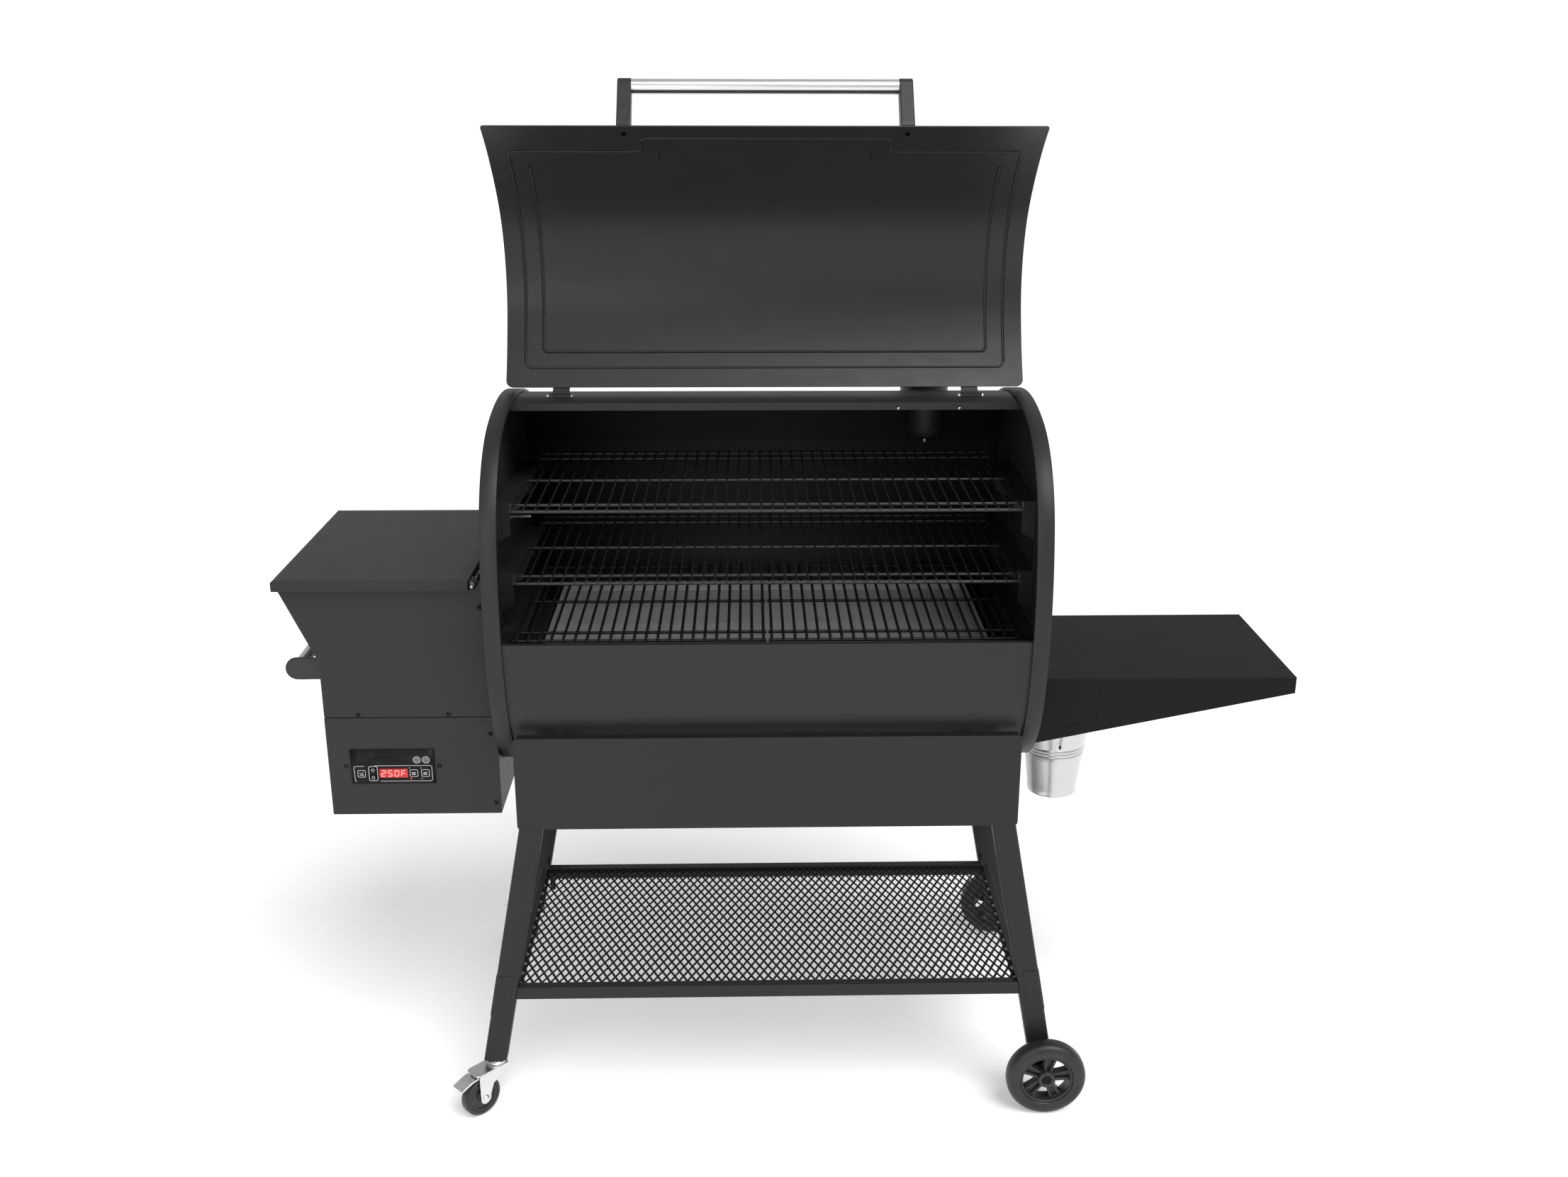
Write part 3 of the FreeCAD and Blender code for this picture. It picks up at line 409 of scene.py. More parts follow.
class Look(Enum):
    """Every finish used on the grill."""

    SHELL = PowderCoat("charcoal_coat", (0.0172, 0.0172, 0.0175), specular=0.28)
    LID_INNER = PowderCoat("lid_enamel", (0.0175, 0.0175, 0.0178), gloss=(0.34, 0.44), grain=0.25,
                           specular=0.3)
    TABLE = PowderCoat("table_coat", (0.0095, 0.0095, 0.0097), specular=0.08)
    INNER = PowderCoat("soot_enamel", (0.024, 0.024, 0.0242), shade=0.3, gloss=(0.5, 0.65), grain=0.5,
                       specular=0.2)
    FRAME = PowderCoat("cart_coat", (0.0138, 0.0138, 0.0141), specular=0.28)
    RACK = Metal("rack_rod", (0.038, 0.038, 0.038), gloss=(0.3, 0.42), stretch=(1.0, 8.0, 8.0), grain=0.05,
                 soil=0.2, metallic=0.6)
    GRATE = PowderCoat("grate_coat", (0.0065, 0.0065, 0.0065), shade=0.4, gloss=(0.45, 0.6), grain=0.7,
                       specular=0.3)
    TRAY = Metal("tray_sheet", (0.38, 0.38, 0.382), gloss=(0.45, 0.58), stretch=(2.0, 8.0, 2.0), grain=0.03,
                 soil=0.10, metallic=0.25)
    CHROME = Metal("polished_tube", (0.74, 0.74, 0.75), gloss=(0.27, 0.30), stretch=(0.3, 20.0, 20.0),
                   grain=0.0, soil=0.04)
    ZINC = Metal("zinc_plate", (0.74, 0.75, 0.76), gloss=(0.24, 0.36), stretch=(8.0, 8.0, 8.0), grain=0.2,
                 soil=0.12)
    GALVANISED = Galvanised("galvanised_sheet")
    STEEL = Metal("plain_steel", (0.42, 0.42, 0.43), gloss=(0.28, 0.42), stretch=(1.0, 30.0, 30.0), soil=0.3)
    SCREW = Metal("blackened_screw", (0.018, 0.018, 0.018), gloss=(0.22, 0.32), stretch=(20.0, 20.0, 20.0),
                  grain=0.1, soil=0.3)
    TYRE = Moulded("tyre_rubber", (0.0125, 0.0125, 0.013), gloss=(0.36, 0.48), grain=0.25, dust=0.012)
    RIM = Moulded("rim_plastic", (0.016, 0.016, 0.017), gloss=(0.28, 0.4), grain=0.15, dust=0.01)
    PLASTIC = Moulded("black_nylon", (0.012, 0.012, 0.0125), gloss=(0.3, 0.42), grain=0.2, dust=0.006)
    PANEL = Moulded("panel_film", (0.0055, 0.0055, 0.006), gloss=(0.38, 0.46), grain=0.05, dust=0.001,
                    specular=0.14)
    PRINT = Moulded("pale_print", (0.50, 0.50, 0.51), gloss=(0.4, 0.5), grain=0.1)
    JACK = Moulded("jack_nylon", (0.13, 0.13, 0.135), grain=0.2, dust=0.01)
    BOARD = Moulded("board_coat", (0.02, 0.14, 0.06), gloss=(0.3, 0.45), grain=0.2, dust=0.02)
    GLOW_BACK = Lit("display_back", (0.42, 0.010, 0.010), strength=0.42)
    GLOW = Lit("display_segment", (1.0, 0.30, 0.26), strength=1.25)
    LAMP = Lit("lit_dot", (1.0, 0.05, 0.03), strength=1.6)

    def material(self) -> bpy.types.Material:
        """The material, built once."""
        found = bpy.data.materials.get(self.value.name)
        return found or self.value.build()


# ------------------------------------------------------------------ drafting

class Draft:
    """Geometry gathered in working millimetres, then turned into one piece."""

    def __init__(self) -> None:
        """Start empty."""
        self.bm = bmesh.new()

    def grid(self, rows: list[list[Vector]], loop_rows: bool = False, loop_cols: bool = False) -> None:
        """Quads over rows of points.

        Args:
            rows: Equal-length rows.
            loop_rows: Join the last row to the first.
            loop_cols: Join each row's end to its start.
        """
        verts = [[self.bm.verts.new(p) for p in row] for row in rows]
        high, wide = len(rows), len(rows[0])
        for i in range(high if loop_rows else high - 1):
            for j in range(wide if loop_cols else wide - 1):
                a, b = verts[i][j], verts[i][(j + 1) % wide]
                c, d = verts[(i + 1) % high][(j + 1) % wide], verts[(i + 1) % high][j]
                try:
                    self.bm.faces.new((a, b, c, d))
                except ValueError:
                    continue

    def cap(self, ring: list[Vector]) -> None:
        """One face over a closed ring of points."""
        self.bm.faces.new([self.bm.verts.new(p) for p in ring])

    def stack(self, rings: list[list[Vector]]) -> None:
        """A closed solid over a stack of closed rings.

        Args:
            rings: Rings of equal length, the first and last of which are capped.
        """
        self.grid(rings, False, True)
        self.cap(rings[0])
        self.cap(rings[-1])

    def block(self, low: tuple[float, float, float], high: tuple[float, float, float]) -> None:
        """A box between two corners.

        Args:
            low: The corner with the smallest coordinates.
            high: The corner with the largest coordinates.
        """
        centre = (Vector(low) + Vector(high)) / 2
        span = Vector(high) - Vector(low)
        bmesh.ops.create_cube(self.bm, size=1.0,
                              matrix=Matrix.Translation(centre) @ Matrix.Diagonal((*span, 1.0)))

    def prism(self, outline: list[Point], axis: Axis, start: float, end: float) -> None:
        """A flat outline run along an axis.

        Args:
            outline: Points in the two other axes, in their X, Y, Z order.
            axis: The axis to run along.
            start: Where it starts.
            end: Where it ends.
        """
        first = [self.bm.verts.new(axis.place(start, *p)) for p in outline]
        last = [self.bm.verts.new(axis.place(end, *p)) for p in outline]
        self.bm.faces.new(first)
        self.bm.faces.new(last[::-1])
        count = len(outline)
        for k in range(count):
            self.bm.faces.new((first[k], last[k], last[(k + 1) % count], first[(k + 1) % count]))

    def pipe(self, path: list[Vector], radius: float, sides: int = 12, closed: bool = False,
             flat: float = 1.0, up: Vector | None = None) -> None:
        """A round bar swept along a path.

        Args:
            path: Points along the middle.
            radius: Bar radius.
            sides: Sides of the section.
            closed: Whether the path joins up.
            flat: Section height over width, along the up direction.
            up: The direction that flat squeezes.
        """
        count = len(path)
        rings = []
        guide = up or Vector((0.0, 0.0, 1.0))
        side = None
        for k, point in enumerate(path):
            before = path[(k - 1) % count] if closed or k else point
            after = path[(k + 1) % count] if closed or k < count - 1 else point
            ahead = (after - before).normalized()
            if up is None and side is not None:
                side = (side - ahead * side.dot(ahead)).normalized()
            else:
                side = ahead.cross(guide)
                if side.length < 1e-4:
                    side = ahead.cross(Vector((0.0, 1.0, 0.0)))
                side.normalize()
            rise = side.cross(ahead).normalized()
            rings.append([point + side * (radius * math.cos(t)) + rise * (radius * flat * math.sin(t))
                          for t in (2 * math.pi * j / sides for j in range(sides))])
        self.grid(rings, closed, True)
        if not closed:
            self.cap(rings[0])
            self.cap(rings[-1])

    def rod(self, start: tuple[float, float, float], end: tuple[float, float, float], radius: float,
            sides: int = 24) -> None:
        """A straight round bar."""
        self.pipe([Vector(start), Vector(end)], radius, sides)

    def lathe(self, profile: list[Point], origin: tuple[float, float, float], axis: Axis, sides: int,
              closed: bool = True) -> None:
        """Turn a profile of (radius, height) points about an axis.

        Args:
            profile: Points in order round the section.
            origin: Where height 0 lies.
            axis: The axis turned about.
            sides: Steps round the turn.
            closed: Whether the profile's end joins its start.
        """
        rows = []
        for k in range(sides):
            t = 2 * math.pi * k / sides
            row = []
            for radius, height in profile:
                row.append(Vector(origin) + axis.place(height, radius * math.cos(t), radius * math.sin(t)))
            rows.append(row)
        self.grid(rows, True, closed)

    def turned(self, matrix: Matrix, build: Callable[[], None]) -> None:
        """Build something and move only what it added.

        Args:
            matrix: The move.
            build: What builds it.
        """
        before = set(self.bm.verts)
        build()
        bmesh.ops.transform(self.bm, matrix=matrix, verts=[v for v in self.bm.verts if v not in before])

    def piece(self, name: str, look: Look, body: str, slot: str, replaces: tuple[str, ...] = (),
              bevel: float = 0.0, angle: float = 35.0, turn: Matrix | None = None) -> bpy.types.Object:
        """Close the draft into an object on a body.

        Args:
            name: The piece's name.
            look: Its finish.
            body: The CAD body it rides on.
            slot: The name of a record slot; not used.
            replaces: CAD nodes it stands for.
            bevel: Width of the softened edges, in millimetres.
            angle: Edges sharper than this stay sharp, in degrees.
            turn: A move in working millimetres made first.

        Returns:
            The object.
        """
        bmesh.ops.remove_doubles(self.bm, verts=self.bm.verts, dist=0.004)
        bmesh.ops.recalc_face_normals(self.bm, faces=self.bm.faces)
        bmesh.ops.transform(self.bm, matrix=to_frame(turn), verts=self.bm.verts)
        mesh = bpy.data.meshes.new(name)
        self.bm.to_mesh(mesh)
        self.bm.free()
        mesh.shade_smooth()
        mesh.set_sharp_from_angle(angle=math.radians(angle))
        obj = added(name, mesh)
        mesh.materials.append(look.material())
        if bevel:
            soften(obj, bevel)
        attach(obj, body)
        if replaces:
            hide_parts(*replaces)
        LOG.info("piece %s on %s", name, body)
        return obj


def added(name: str, data: bpy.types.ID) -> bpy.types.Object:
    """A new object in the scene.

    Args:
        name: Its name.
        data: Its mesh, light or camera.

    Returns:
        The object.
    """
    obj = bpy.data.objects.new(name, data)
    bpy.context.scene.collection.objects.link(obj)
    return obj


def soften(obj: bpy.types.Object, width: float, segments: int = 2) -> None:
    """Round an object's sharp edges and even out its shading.

    Args:
        obj: The object.
        width: Width of the rounding, in millimetres.
        segments: Steps across it.
    """
    modifier = obj.modifiers.new("soft_edges", "BEVEL")
    modifier.width = width / 1000.0
    modifier.segments = segments
    modifier.limit_method = "ANGLE"
    modifier.angle_limit = math.radians(40.0)
    modifier.harden_normals = False
    modifier.use_clamp_overlap = True
    even = obj.modifiers.new("even_faces", "WEIGHTED_NORMAL")
    even.keep_sharp = True
    even.weight = 90


def arc(x: float, z: float, radius: float, start: int, end: int, step: int = 15) -> list[Point]:
    """Points of an arc.

    Args:
        x: First coordinate of its middle.
        z: Second coordinate of its middle.
        radius: Its radius.
        start: The first angle in degrees.
        end: The last angle in degrees.
        step: Degrees between points, negative to run backward.

    Returns:
        The points.
    """
    angles = (math.radians(a) for a in range(start, end + (1 if step > 0 else -1), step))
    return [(x + radius * math.cos(t), z + radius * math.sin(t)) for t in angles]


def mirrored(profile: list[Point]) -> list[Point]:
    """A turned profile followed by its mirror image in height."""
    return profile + [(radius, -height) for radius, height in profile[::-1]]


def rounded(x0: float, z0: float, x1: float, z1: float, radius: float, steps: int = 6) -> list[Point]:
    """A rectangle outline with round corners.

    Args:
        x0: Low end of the first coordinate.
        z0: Low end of the second coordinate.
        x1: High end of the first coordinate.
        z1: High end of the second coordinate.
        radius: Corner radius.
        steps: Steps round each corner.

    Returns:
        The outline's points.
    """
    out = []
    for cx, cz, start in ((x1 - radius, z1 - radius, 0), (x0 + radius, z1 - radius, 90),
                          (x0 + radius, z0 + radius, 180), (x1 - radius, z0 + radius, 270)):
        for k in range(steps + 1):
            t = math.radians(start + 90.0 * k / steps)
            out.append((cx + radius * math.cos(t), cz + radius * math.sin(t)))
    return out


@dataclass
class Section:
    """The barrel's section: four tangent arcs from the crown to the belly, closed by a keel arc."""

    mid_y: float = 30.0
    top_z: float = 1370.0
    arcs: tuple[Point, ...] = ((540.0, 17.0), (225.0, 58.0), (626.0, 30.0), (253.0, 68.0))

    def front(self, inset: float, step: float = 6.0) -> list[tuple[Vector, Vector]]:
        """Points down the front half with their outward normals.

        Args:
            inset: How far inside the rim the line runs.
            step: Rough spacing.

        Returns:
            Pairs of (point, normal), both (0, y, z).
        """
        y, z, heading = self.mid_y, self.top_z - inset, 180.0
        out = [(Vector((0, y, z)), Vector((0, 0, 1)))]
        for radius, sweep in (*self.arcs, (0.0, 0.0)):
            if not radius:
                sweep = 360.0 - heading
                bend = (self.mid_y - y) / math.sin(math.radians(sweep))
            else:
                bend = radius - inset
            a = math.radians(heading)
            cy, cz = y - bend * math.sin(a), z + bend * math.cos(a)
            count = max(4, int(bend * math.radians(sweep) / step))
            for k in range(1, count + 1):
                a = math.radians(heading + sweep * k / count)
                normal = Vector((0, math.sin(a), -math.cos(a)))
                out.append((Vector((0, cy, cz)) + normal * bend, normal))
            y, z, heading = out[-1][0].y, out[-1][0].z, heading + sweep
        return out

    def loop(self, inset: float, step: float = 6.0) -> list[tuple[Vector, Vector]]:
        """The whole closed section from the crown, front side first.

        Args:
            inset: How far inside the rim the line runs.
            step: Rough spacing.

        Returns:
            Pairs of (point, normal), both (0, y, z).
        """
        half = self.front(inset, step)
        back = [(Vector((0, 2 * self.mid_y - p.y, p.z)), Vector((0, -n.y, n.z))) for p, n in half[1:-1]]
        return half + back[::-1]


def resample(path: list[tuple[Vector, Vector]], count: int) -> list[tuple[Vector, Vector, float]]:
    """Evenly spaced places along a path.

    Args:
        path: Pairs of (point, normal).
        count: How many steps to take.

    Returns:
        Each place's point, normal and distance from the start.
    """
    lengths = [0.0]
    for (a, _), (b, _) in zip(path, path[1:]):
        lengths.append(lengths[-1] + (b - a).length)
    out, k = [], 0
    for step in range(count + 1):
        goal = lengths[-1] * step / count
        while k < len(lengths) - 2 and lengths[k + 1] < goal:
            k += 1
        t = (goal - lengths[k]) / max(1e-9, lengths[k + 1] - lengths[k])
        point = path[k][0].lerp(path[k + 1][0], t)
        out.append((point, path[k][1].lerp(path[k + 1][1], t).normalized(), goal))
    return out


# ------------------------------------------------------------------ barrel

@dataclass
class Barrel:
    """The skin, the end caps and what is fixed inside them."""

    section: Section = field(default_factory=Section)
    half: float = 500.0
    rim: float = 30.0
    inset: float = 6.0
    skin: float = 1.6
    mouth_z: float = 985.0
    strip_y: float = -25.0
    strap_y: tuple[float, ...] = (-120.0, 170.0)
    strap_wide: float = 26.0
    strap_low: float = 902.0
    strap_high: float = 1233.0
    sheet: float = 1.6
    ledge_front: float = -120.0
    ledge_back: float = 196.0
    low_ledges: tuple[Point, ...] = ((902.7, 90.0), (949.7, 46.0))
    rack_ledges: tuple[Point, ...] = ((1060.7, 46.0), (1195.7, 46.0))
    rack_tab: tuple[Point, ...] = ((26.5, 17.0), (26.5, 59.2), (0.0, 74.0))

    def build(self) -> None:
        """Make every piece of the barrel."""
        self.shell()
        for side in (Side.LEFT, Side.RIGHT):
            self.end_cap(side)
        self.brackets()

    def shell(self) -> None:
        """The wrapped skin with its folded front lips."""
        loop = self.section.loop(self.inset, 5.0)
        path = loop[next(k for k, (p, _) in enumerate(loop) if p.z < self.mouth_z):]
        path = [(Vector((0, path[0][0].y, self.mouth_z)), path[0][1])] + path
        path += [(p, n) for p, n in self.section.front(self.inset, 5.0)
                 if p.y > self.strip_y and p.z > self.mouth_z]
        start, end = path[0][0], path[-1][0]
        lip_low = (Vector((0, start.y + 12, self.mouth_z - 0.2)), Vector((0, 0, 1)))
        lip_high = (Vector((0, end.y + 0.6, end.z - 14)), Vector((0, -1, 0)))
        line = [lip_low] + path + [lip_high]
        ring = [p for p, _ in line] + [p - n * self.skin for p, n in line[::-1]]
        edge = self.half - 2.0
        draft = Draft()
        draft.stack([[Vector((x, p.y, p.z)) for p in ring] for x in (-edge, edge)])
        draft.piece("barrel_skin", Look.SHELL, "grill", "charcoal_paint", ("barrel_shell",))
        lining = Draft()
        inner = [p - n * (self.skin + 0.15) for p, n in path[1:-1]]
        lining.grid([[Vector((x, p.y, p.z)) for p in inner] for x in (-edge + 1.5, edge - 1.5)])
        obj = lining.piece("barrel_lining", Look.INNER, "grill", "inner_paint")
        obj.modifiers.new("gauge", "SOLIDIFY").thickness = 0.0001

    def end_cap(self, side: Side) -> None:
        """One pressed end plate with its deep rolled rim.

        Args:
            side: The end it closes.
        """
        loop = self.section.loop(0.0, 5.0)
        draft = Draft()
        sign = side.sign()
        face, back = sign * self.half, sign * (self.half - self.rim)
        steps = [(face, 5.0), (face, 1.6), (face - sign * 0.5, 0.5), (face - sign * 1.6, 0.0),
                 (back + sign * 1.2, 0.0), (back + sign * 0.3, 0.4), (back, 1.2), (back, 5.2),
                 (face - sign * 1.7, 5.6)]
        rows = [[Vector((x, p.y, p.z)) - n * inset for p, n in loop] for x, inset in steps]
        draft.stack(rows)
        draft.piece("end_cap_skin_" + side.value, Look.SHELL, "grill", "charcoal_paint",
                    ("end_cap_" + side.value,))
        inner = Draft()
        ring = [p - n * 7.4 for p, n in loop]
        x = face - sign * 1.9
        inner.prism([(p.y, p.z) for p in ring], Axis.X, x, x - sign * 0.4)
        inner.piece("end_lining_" + side.value, Look.INNER, "grill", "inner_paint")

    def brackets(self) -> None:
        """Bent ledge brackets that carry the racks, on both end caps."""
        draft = Draft()
        for sign in (-1.0, 1.0):
            wall = sign * (self.half - 2.6)
            for y in self.strap_y:
                strap = rounded(y, self.strap_low, y + self.strap_wide, self.strap_high, 5.0)
                draft.prism(strap, Axis.X, wall, wall - sign * self.sheet)
            for level, reach in self.low_ledges + self.rack_ledges:
                tip = wall - sign * reach
                near, far = sorted((wall, tip))
                draft.block((near, self.ledge_front, level), (far, self.ledge_back, level + 2.0))
                low = (level, reach) in self.low_ledges
                under = ((reach * 0.7, 20.8), (0.0, 26.0)) if low else self.rack_tab
                tab = [(wall, level), (tip, level), (tip, level - 7)]
                tab += [(wall - sign * out, level - down) for out, down in under]
                for y in (self.ledge_front, self.ledge_back - self.sheet):
                    draft.prism(tab, Axis.Y, y, y + self.sheet)
        draft.piece("rack_bracket_set", Look.LID_INNER, "grill", "inner_paint", ("rack_brackets",), 0.4)


# ------------------------------------------------------------------ lid

@dataclass
class Lid:
    """The hinged lid with its pressed beads, its bar and its hinges."""

    section: Section = field(default_factory=Section)
    half: float = 492.5
    gap: float = 0.8
    gauge: float = 2.0
    rear_y: float = 12.0
    front_z: float = 986.0
    front_corner: float = 7.0
    rear_corner: float = 14.0
    bead_wide: float = 4.4
    outer_bead: tuple[Point, ...] = (
        (-455.5, 76.0), (-219.5, 76.0), (-219.5, 37.0), (219.5, 37.0), (219.5, 76.0), (455.5, 76.0),
        (455.5, 536.0), (-455.5, 536.0))
    inner_x: float = 422.0
    inner_runs: tuple[float, float] = (118.0, 504.0)
    tie_x: float = 188.5
    fold_x: float = 458.4
    grip_y: float = -397.0
    grip_z: float = 1010.0
    grip_half: float = 235.0
    arm_wide: float = 24.0
    screw_x: float = 247.0
    screw_run: float = 22.0
    hinge_x: tuple[float, ...] = (-388.0, 389.0)

    def curve(self, count: int) -> list[tuple[Vector, Vector, float]]:
        """The lid's inner line when shut, from the front edge to the rear edge.

        Args:
            count: Steps along it.

        Returns:
            Each place's point, normal and distance.
        """
        line = [(p, n) for p, n in self.section.front(-self.gap, 3.0)
                if p.y < self.rear_y and p.z > self.front_z]
        return resample(line[::-1], count)

    def at(self, line: list[tuple[Vector, Vector, float]], x: float, run: float, rise: float = 0.0) -> Vector:
        """A place on the lid.

        Args:
            line: The curve.
            x: Sideways place.
            run: Distance from the front edge along the sheet.
            rise: Height above the inner face, outward.

        Returns:
            The point in working millimetres, lid shut.
        """
        share = max(0.0, min(0.99999, run / line[-1][2])) * (len(line) - 1)
        k = int(share)
        point = line[k][0].lerp(line[k + 1][0], share - k)
        normal = line[k][1].lerp(line[k + 1][1], share - k).normalized()
        return Vector((x, point.y, point.z)) + normal * rise

    def build(self) -> None:
        """Make every piece that opens with the lid, and its fixed hinge halves."""
        line = self.curve(150)
        self.sheet(line)
        self.beads(line)
        self.bar(line)
        self.hinges()

    def reach(self, run: float, total: float) -> float:
        """Half width at a distance from the front edge, less at the round corners.

        Args:
            run: The distance.
            total: The whole length of the sheet.

        Returns:
            The half width.
        """
        short = min(run, total - run)
        corner = self.front_corner if run < total / 2 else self.rear_corner
        if short >= corner:
            return self.half
        return self.half - corner + math.sqrt(max(0.0, corner ** 2 - (corner - short) ** 2))

    def sheet(self, line: list[tuple[Vector, Vector, float]]) -> None:
        """The curved sheet: an enamelled inner face and a coated outer face.

        Args:
            line: The lid's curve.
        """
        total = line[-1][2]
        turns = [1 - math.cos(math.radians(a)) for a in range(0, 91, 10)]
        runs = sorted({min(total, total * k / 90) for k in range(91)} | {self.front_corner * t for t in turns}
                      | {total - self.rear_corner * t for t in turns})
        shares = [-1.0, -0.999, -0.99, -0.95, -0.6, -0.2, 0.2, 0.6, 0.95, 0.99, 0.999, 1.0]

        def face(rise: float) -> list[list[Vector]]:
            """The sheet's grid at a height over its inner face."""
            return [[self.at(line, share * self.reach(run, total), run, rise) for share in shares]
                    for run in runs]

        def border(rows: list[list[Vector]]) -> list[Vector]:
            """The points round a grid's edge."""
            right, left = [row[-1] for row in rows[1:]], [row[0] for row in rows[::-1][1:-1]]
            return rows[0] + right + rows[-1][::-1][1:] + left

        outer = Draft()
        low, high = face(0.35), face(self.gauge)
        outer.grid(low)
        outer.grid(high)
        outer.grid([border(low), border(high)], False, True)
        outer.piece("lid_sheet", Look.SHELL, "lid", "charcoal_paint", ("lid",), 0.0, 50.0, LID_TURN)
        inner = Draft()
        enamel = face(0.0)
        inner.grid(enamel)
        inner.grid([border(enamel), border(low)], False, True)
        inner.grid(face(0.34))
        inner.piece("lid_inner_face", Look.LID_INNER, "lid", "charcoal_paint", (), 0.0, 50.0, LID_TURN)

    def trail(self, line: list[tuple[Vector, Vector, float]], corners: list[Point], closed: bool,
              radius: float = 14.0) -> list[Vector]:
        """A path over the inner face through corners, rounded where it turns.

        Args:
            line: The lid's curve.
            corners: Corners as sideways place and distance from the front edge.
            closed: Whether the path joins up.
            radius: Corner radius.

        Returns:
            The path's points.
        """
        count = len(corners)
        flat: list[Point] = []
        for k, (x, run) in enumerate(corners):
            if not closed and k in (0, count - 1):
                flat.append((x, run))
                continue
            here = Vector((x, run))
            before = Vector(corners[(k - 1) % count])
            after = Vector(corners[(k + 1) % count])
            into, out = (here - before), (after - here)
            cut = min(radius, into.length * 0.45, out.length * 0.45)
            start, end = here - into.normalized() * cut, here + out.normalized() * cut
            for step in range(7):
                t = step / 6
                flat.append(tuple(start.lerp(here, t).lerp(here.lerp(end, t), t)))
        points: list[Vector] = []
        ends = flat + [flat[0]] if closed else flat
        for (xa, ra), (xb, rb) in zip(ends, ends[1:]):
            pieces = max(1, int(math.hypot(xb - xa, rb - ra) / 12))
            for step in range(pieces):
                t = step / pieces
                points.append(self.at(line, xa + (xb - xa) * t, ra + (rb - ra) * t, 0.0))
        if not closed:
            points.append(self.at(line, *flat[-1], -0.1))
        return points

    def beads(self, line: list[tuple[Vector, Vector, float]]) -> None:
        """Pressed beads on the inner face, a stepped outer frame and an open inner frame, with dark lines of
        painted shade beside them and along their fold lines.

        Args:
            line: The lid's curve.
        """
        def frame_of(grow: float, early: float) -> list[Point]:
            """The inner frame's corners, grown sideways and rearward, with its ends brought forward."""
            x, (low, high) = self.inner_x + grow, self.inner_runs
            return [(-x, low - early), (-x, high + grow), (x, high + grow), (x, low - early)]

        draft, groove_shade = Draft(), Draft()
        draft.pipe(self.trail(line, list(self.outer_bead), True, 13.0), self.bead_wide / 2, 8, True)
        draft.pipe(self.trail(line, frame_of(0.0, 0.0), False, 11.0), self.bead_wide / 2, 8)
        # The thin dark lines in the black panel finish are painted shade standing in for the grooves beside
        # the beads and at the folds.
        groove_shade.pipe(self.trail(line, frame_of(2.6, 2.0), False, 12.0), 0.8, 6)
        for x in (-self.tie_x, self.tie_x):
            groove_shade.pipe(self.trail(line, [(x, 70.0), (x, 100.0)], False), 0.6, 6)
        for x in (-self.fold_x, self.fold_x):
            groove_shade.pipe(self.trail(line, [(x, 86.0), (x, 526.0)], False), 0.7, 6)
        draft.piece("lid_beads", Look.SHELL, "lid", "charcoal_paint", (), 0.0, 60.0, LID_TURN)
        groove_shade.piece("lid_bead_folds", Look.PANEL, "lid", "charcoal_paint", (), 0.0, 60.0, LID_TURN)

    def bar(self, line: list[tuple[Vector, Vector, float]]) -> None:
        """The polished bar on two curved arms, with its screws.

        Args:
            line: The lid's curve.
        """
        bar = Draft()
        bar.lathe([(13.0, -self.grip_half), (13.0, self.grip_half), (11.5, self.grip_half),
                   (11.5, -self.grip_half)], (0.0, self.grip_y, self.grip_z), Axis.X, 48)
        bar.piece("lid_bar", Look.CHROME, "lid", "chrome", ("handle_tube",), 0.0, 40.0, LID_TURN)
        arms = Draft()
        side = [(-306.0, 992.0), (-306.0, 1046.0), (-309.0, 1048.0), (-313.0, 1046.0), (-318.0, 1036.0),
                (-328.0, 1028.0), (-345.0, 1025.5), (-397.0, 1024.5)]
        side += arc(self.grip_y, self.grip_z, 14.5, 105, 255)
        side += [(-397.0, 995.5), (-345.0, 994.0), (-320.0, 992.0)]
        for sign in (-1.0, 1.0):
            inner = sign * (self.grip_half + 0.2)
            arms.prism(side, Axis.X, inner, inner + sign * self.arm_wide)
        arms.piece("lid_bar_arms", Look.PLASTIC, "lid", "charcoal_paint", ("handle_arms",), 2.2, 35.0,
                   LID_TURN)
        screws = Draft()
        for x in (-self.screw_x, self.screw_x):
            seat = self.at(line, x, self.screw_run, -0.2)
            normal = (self.at(line, x, self.screw_run, 1.0) - seat).normalized()
            screws.pipe([seat, seat - normal * 1.2, seat - normal * 1.8], 4.0, 20)
            screws.block(tuple(seat - normal * 2.0 - Vector((3.0, 0.4, 0.5))),
                         tuple(seat - normal * 1.5 + Vector((3.0, 0.4, 0.5))))
        screws.piece("lid_bar_screws", Look.SCREW, "lid", "rack_steel", (), 0.0, 35.0, LID_TURN)

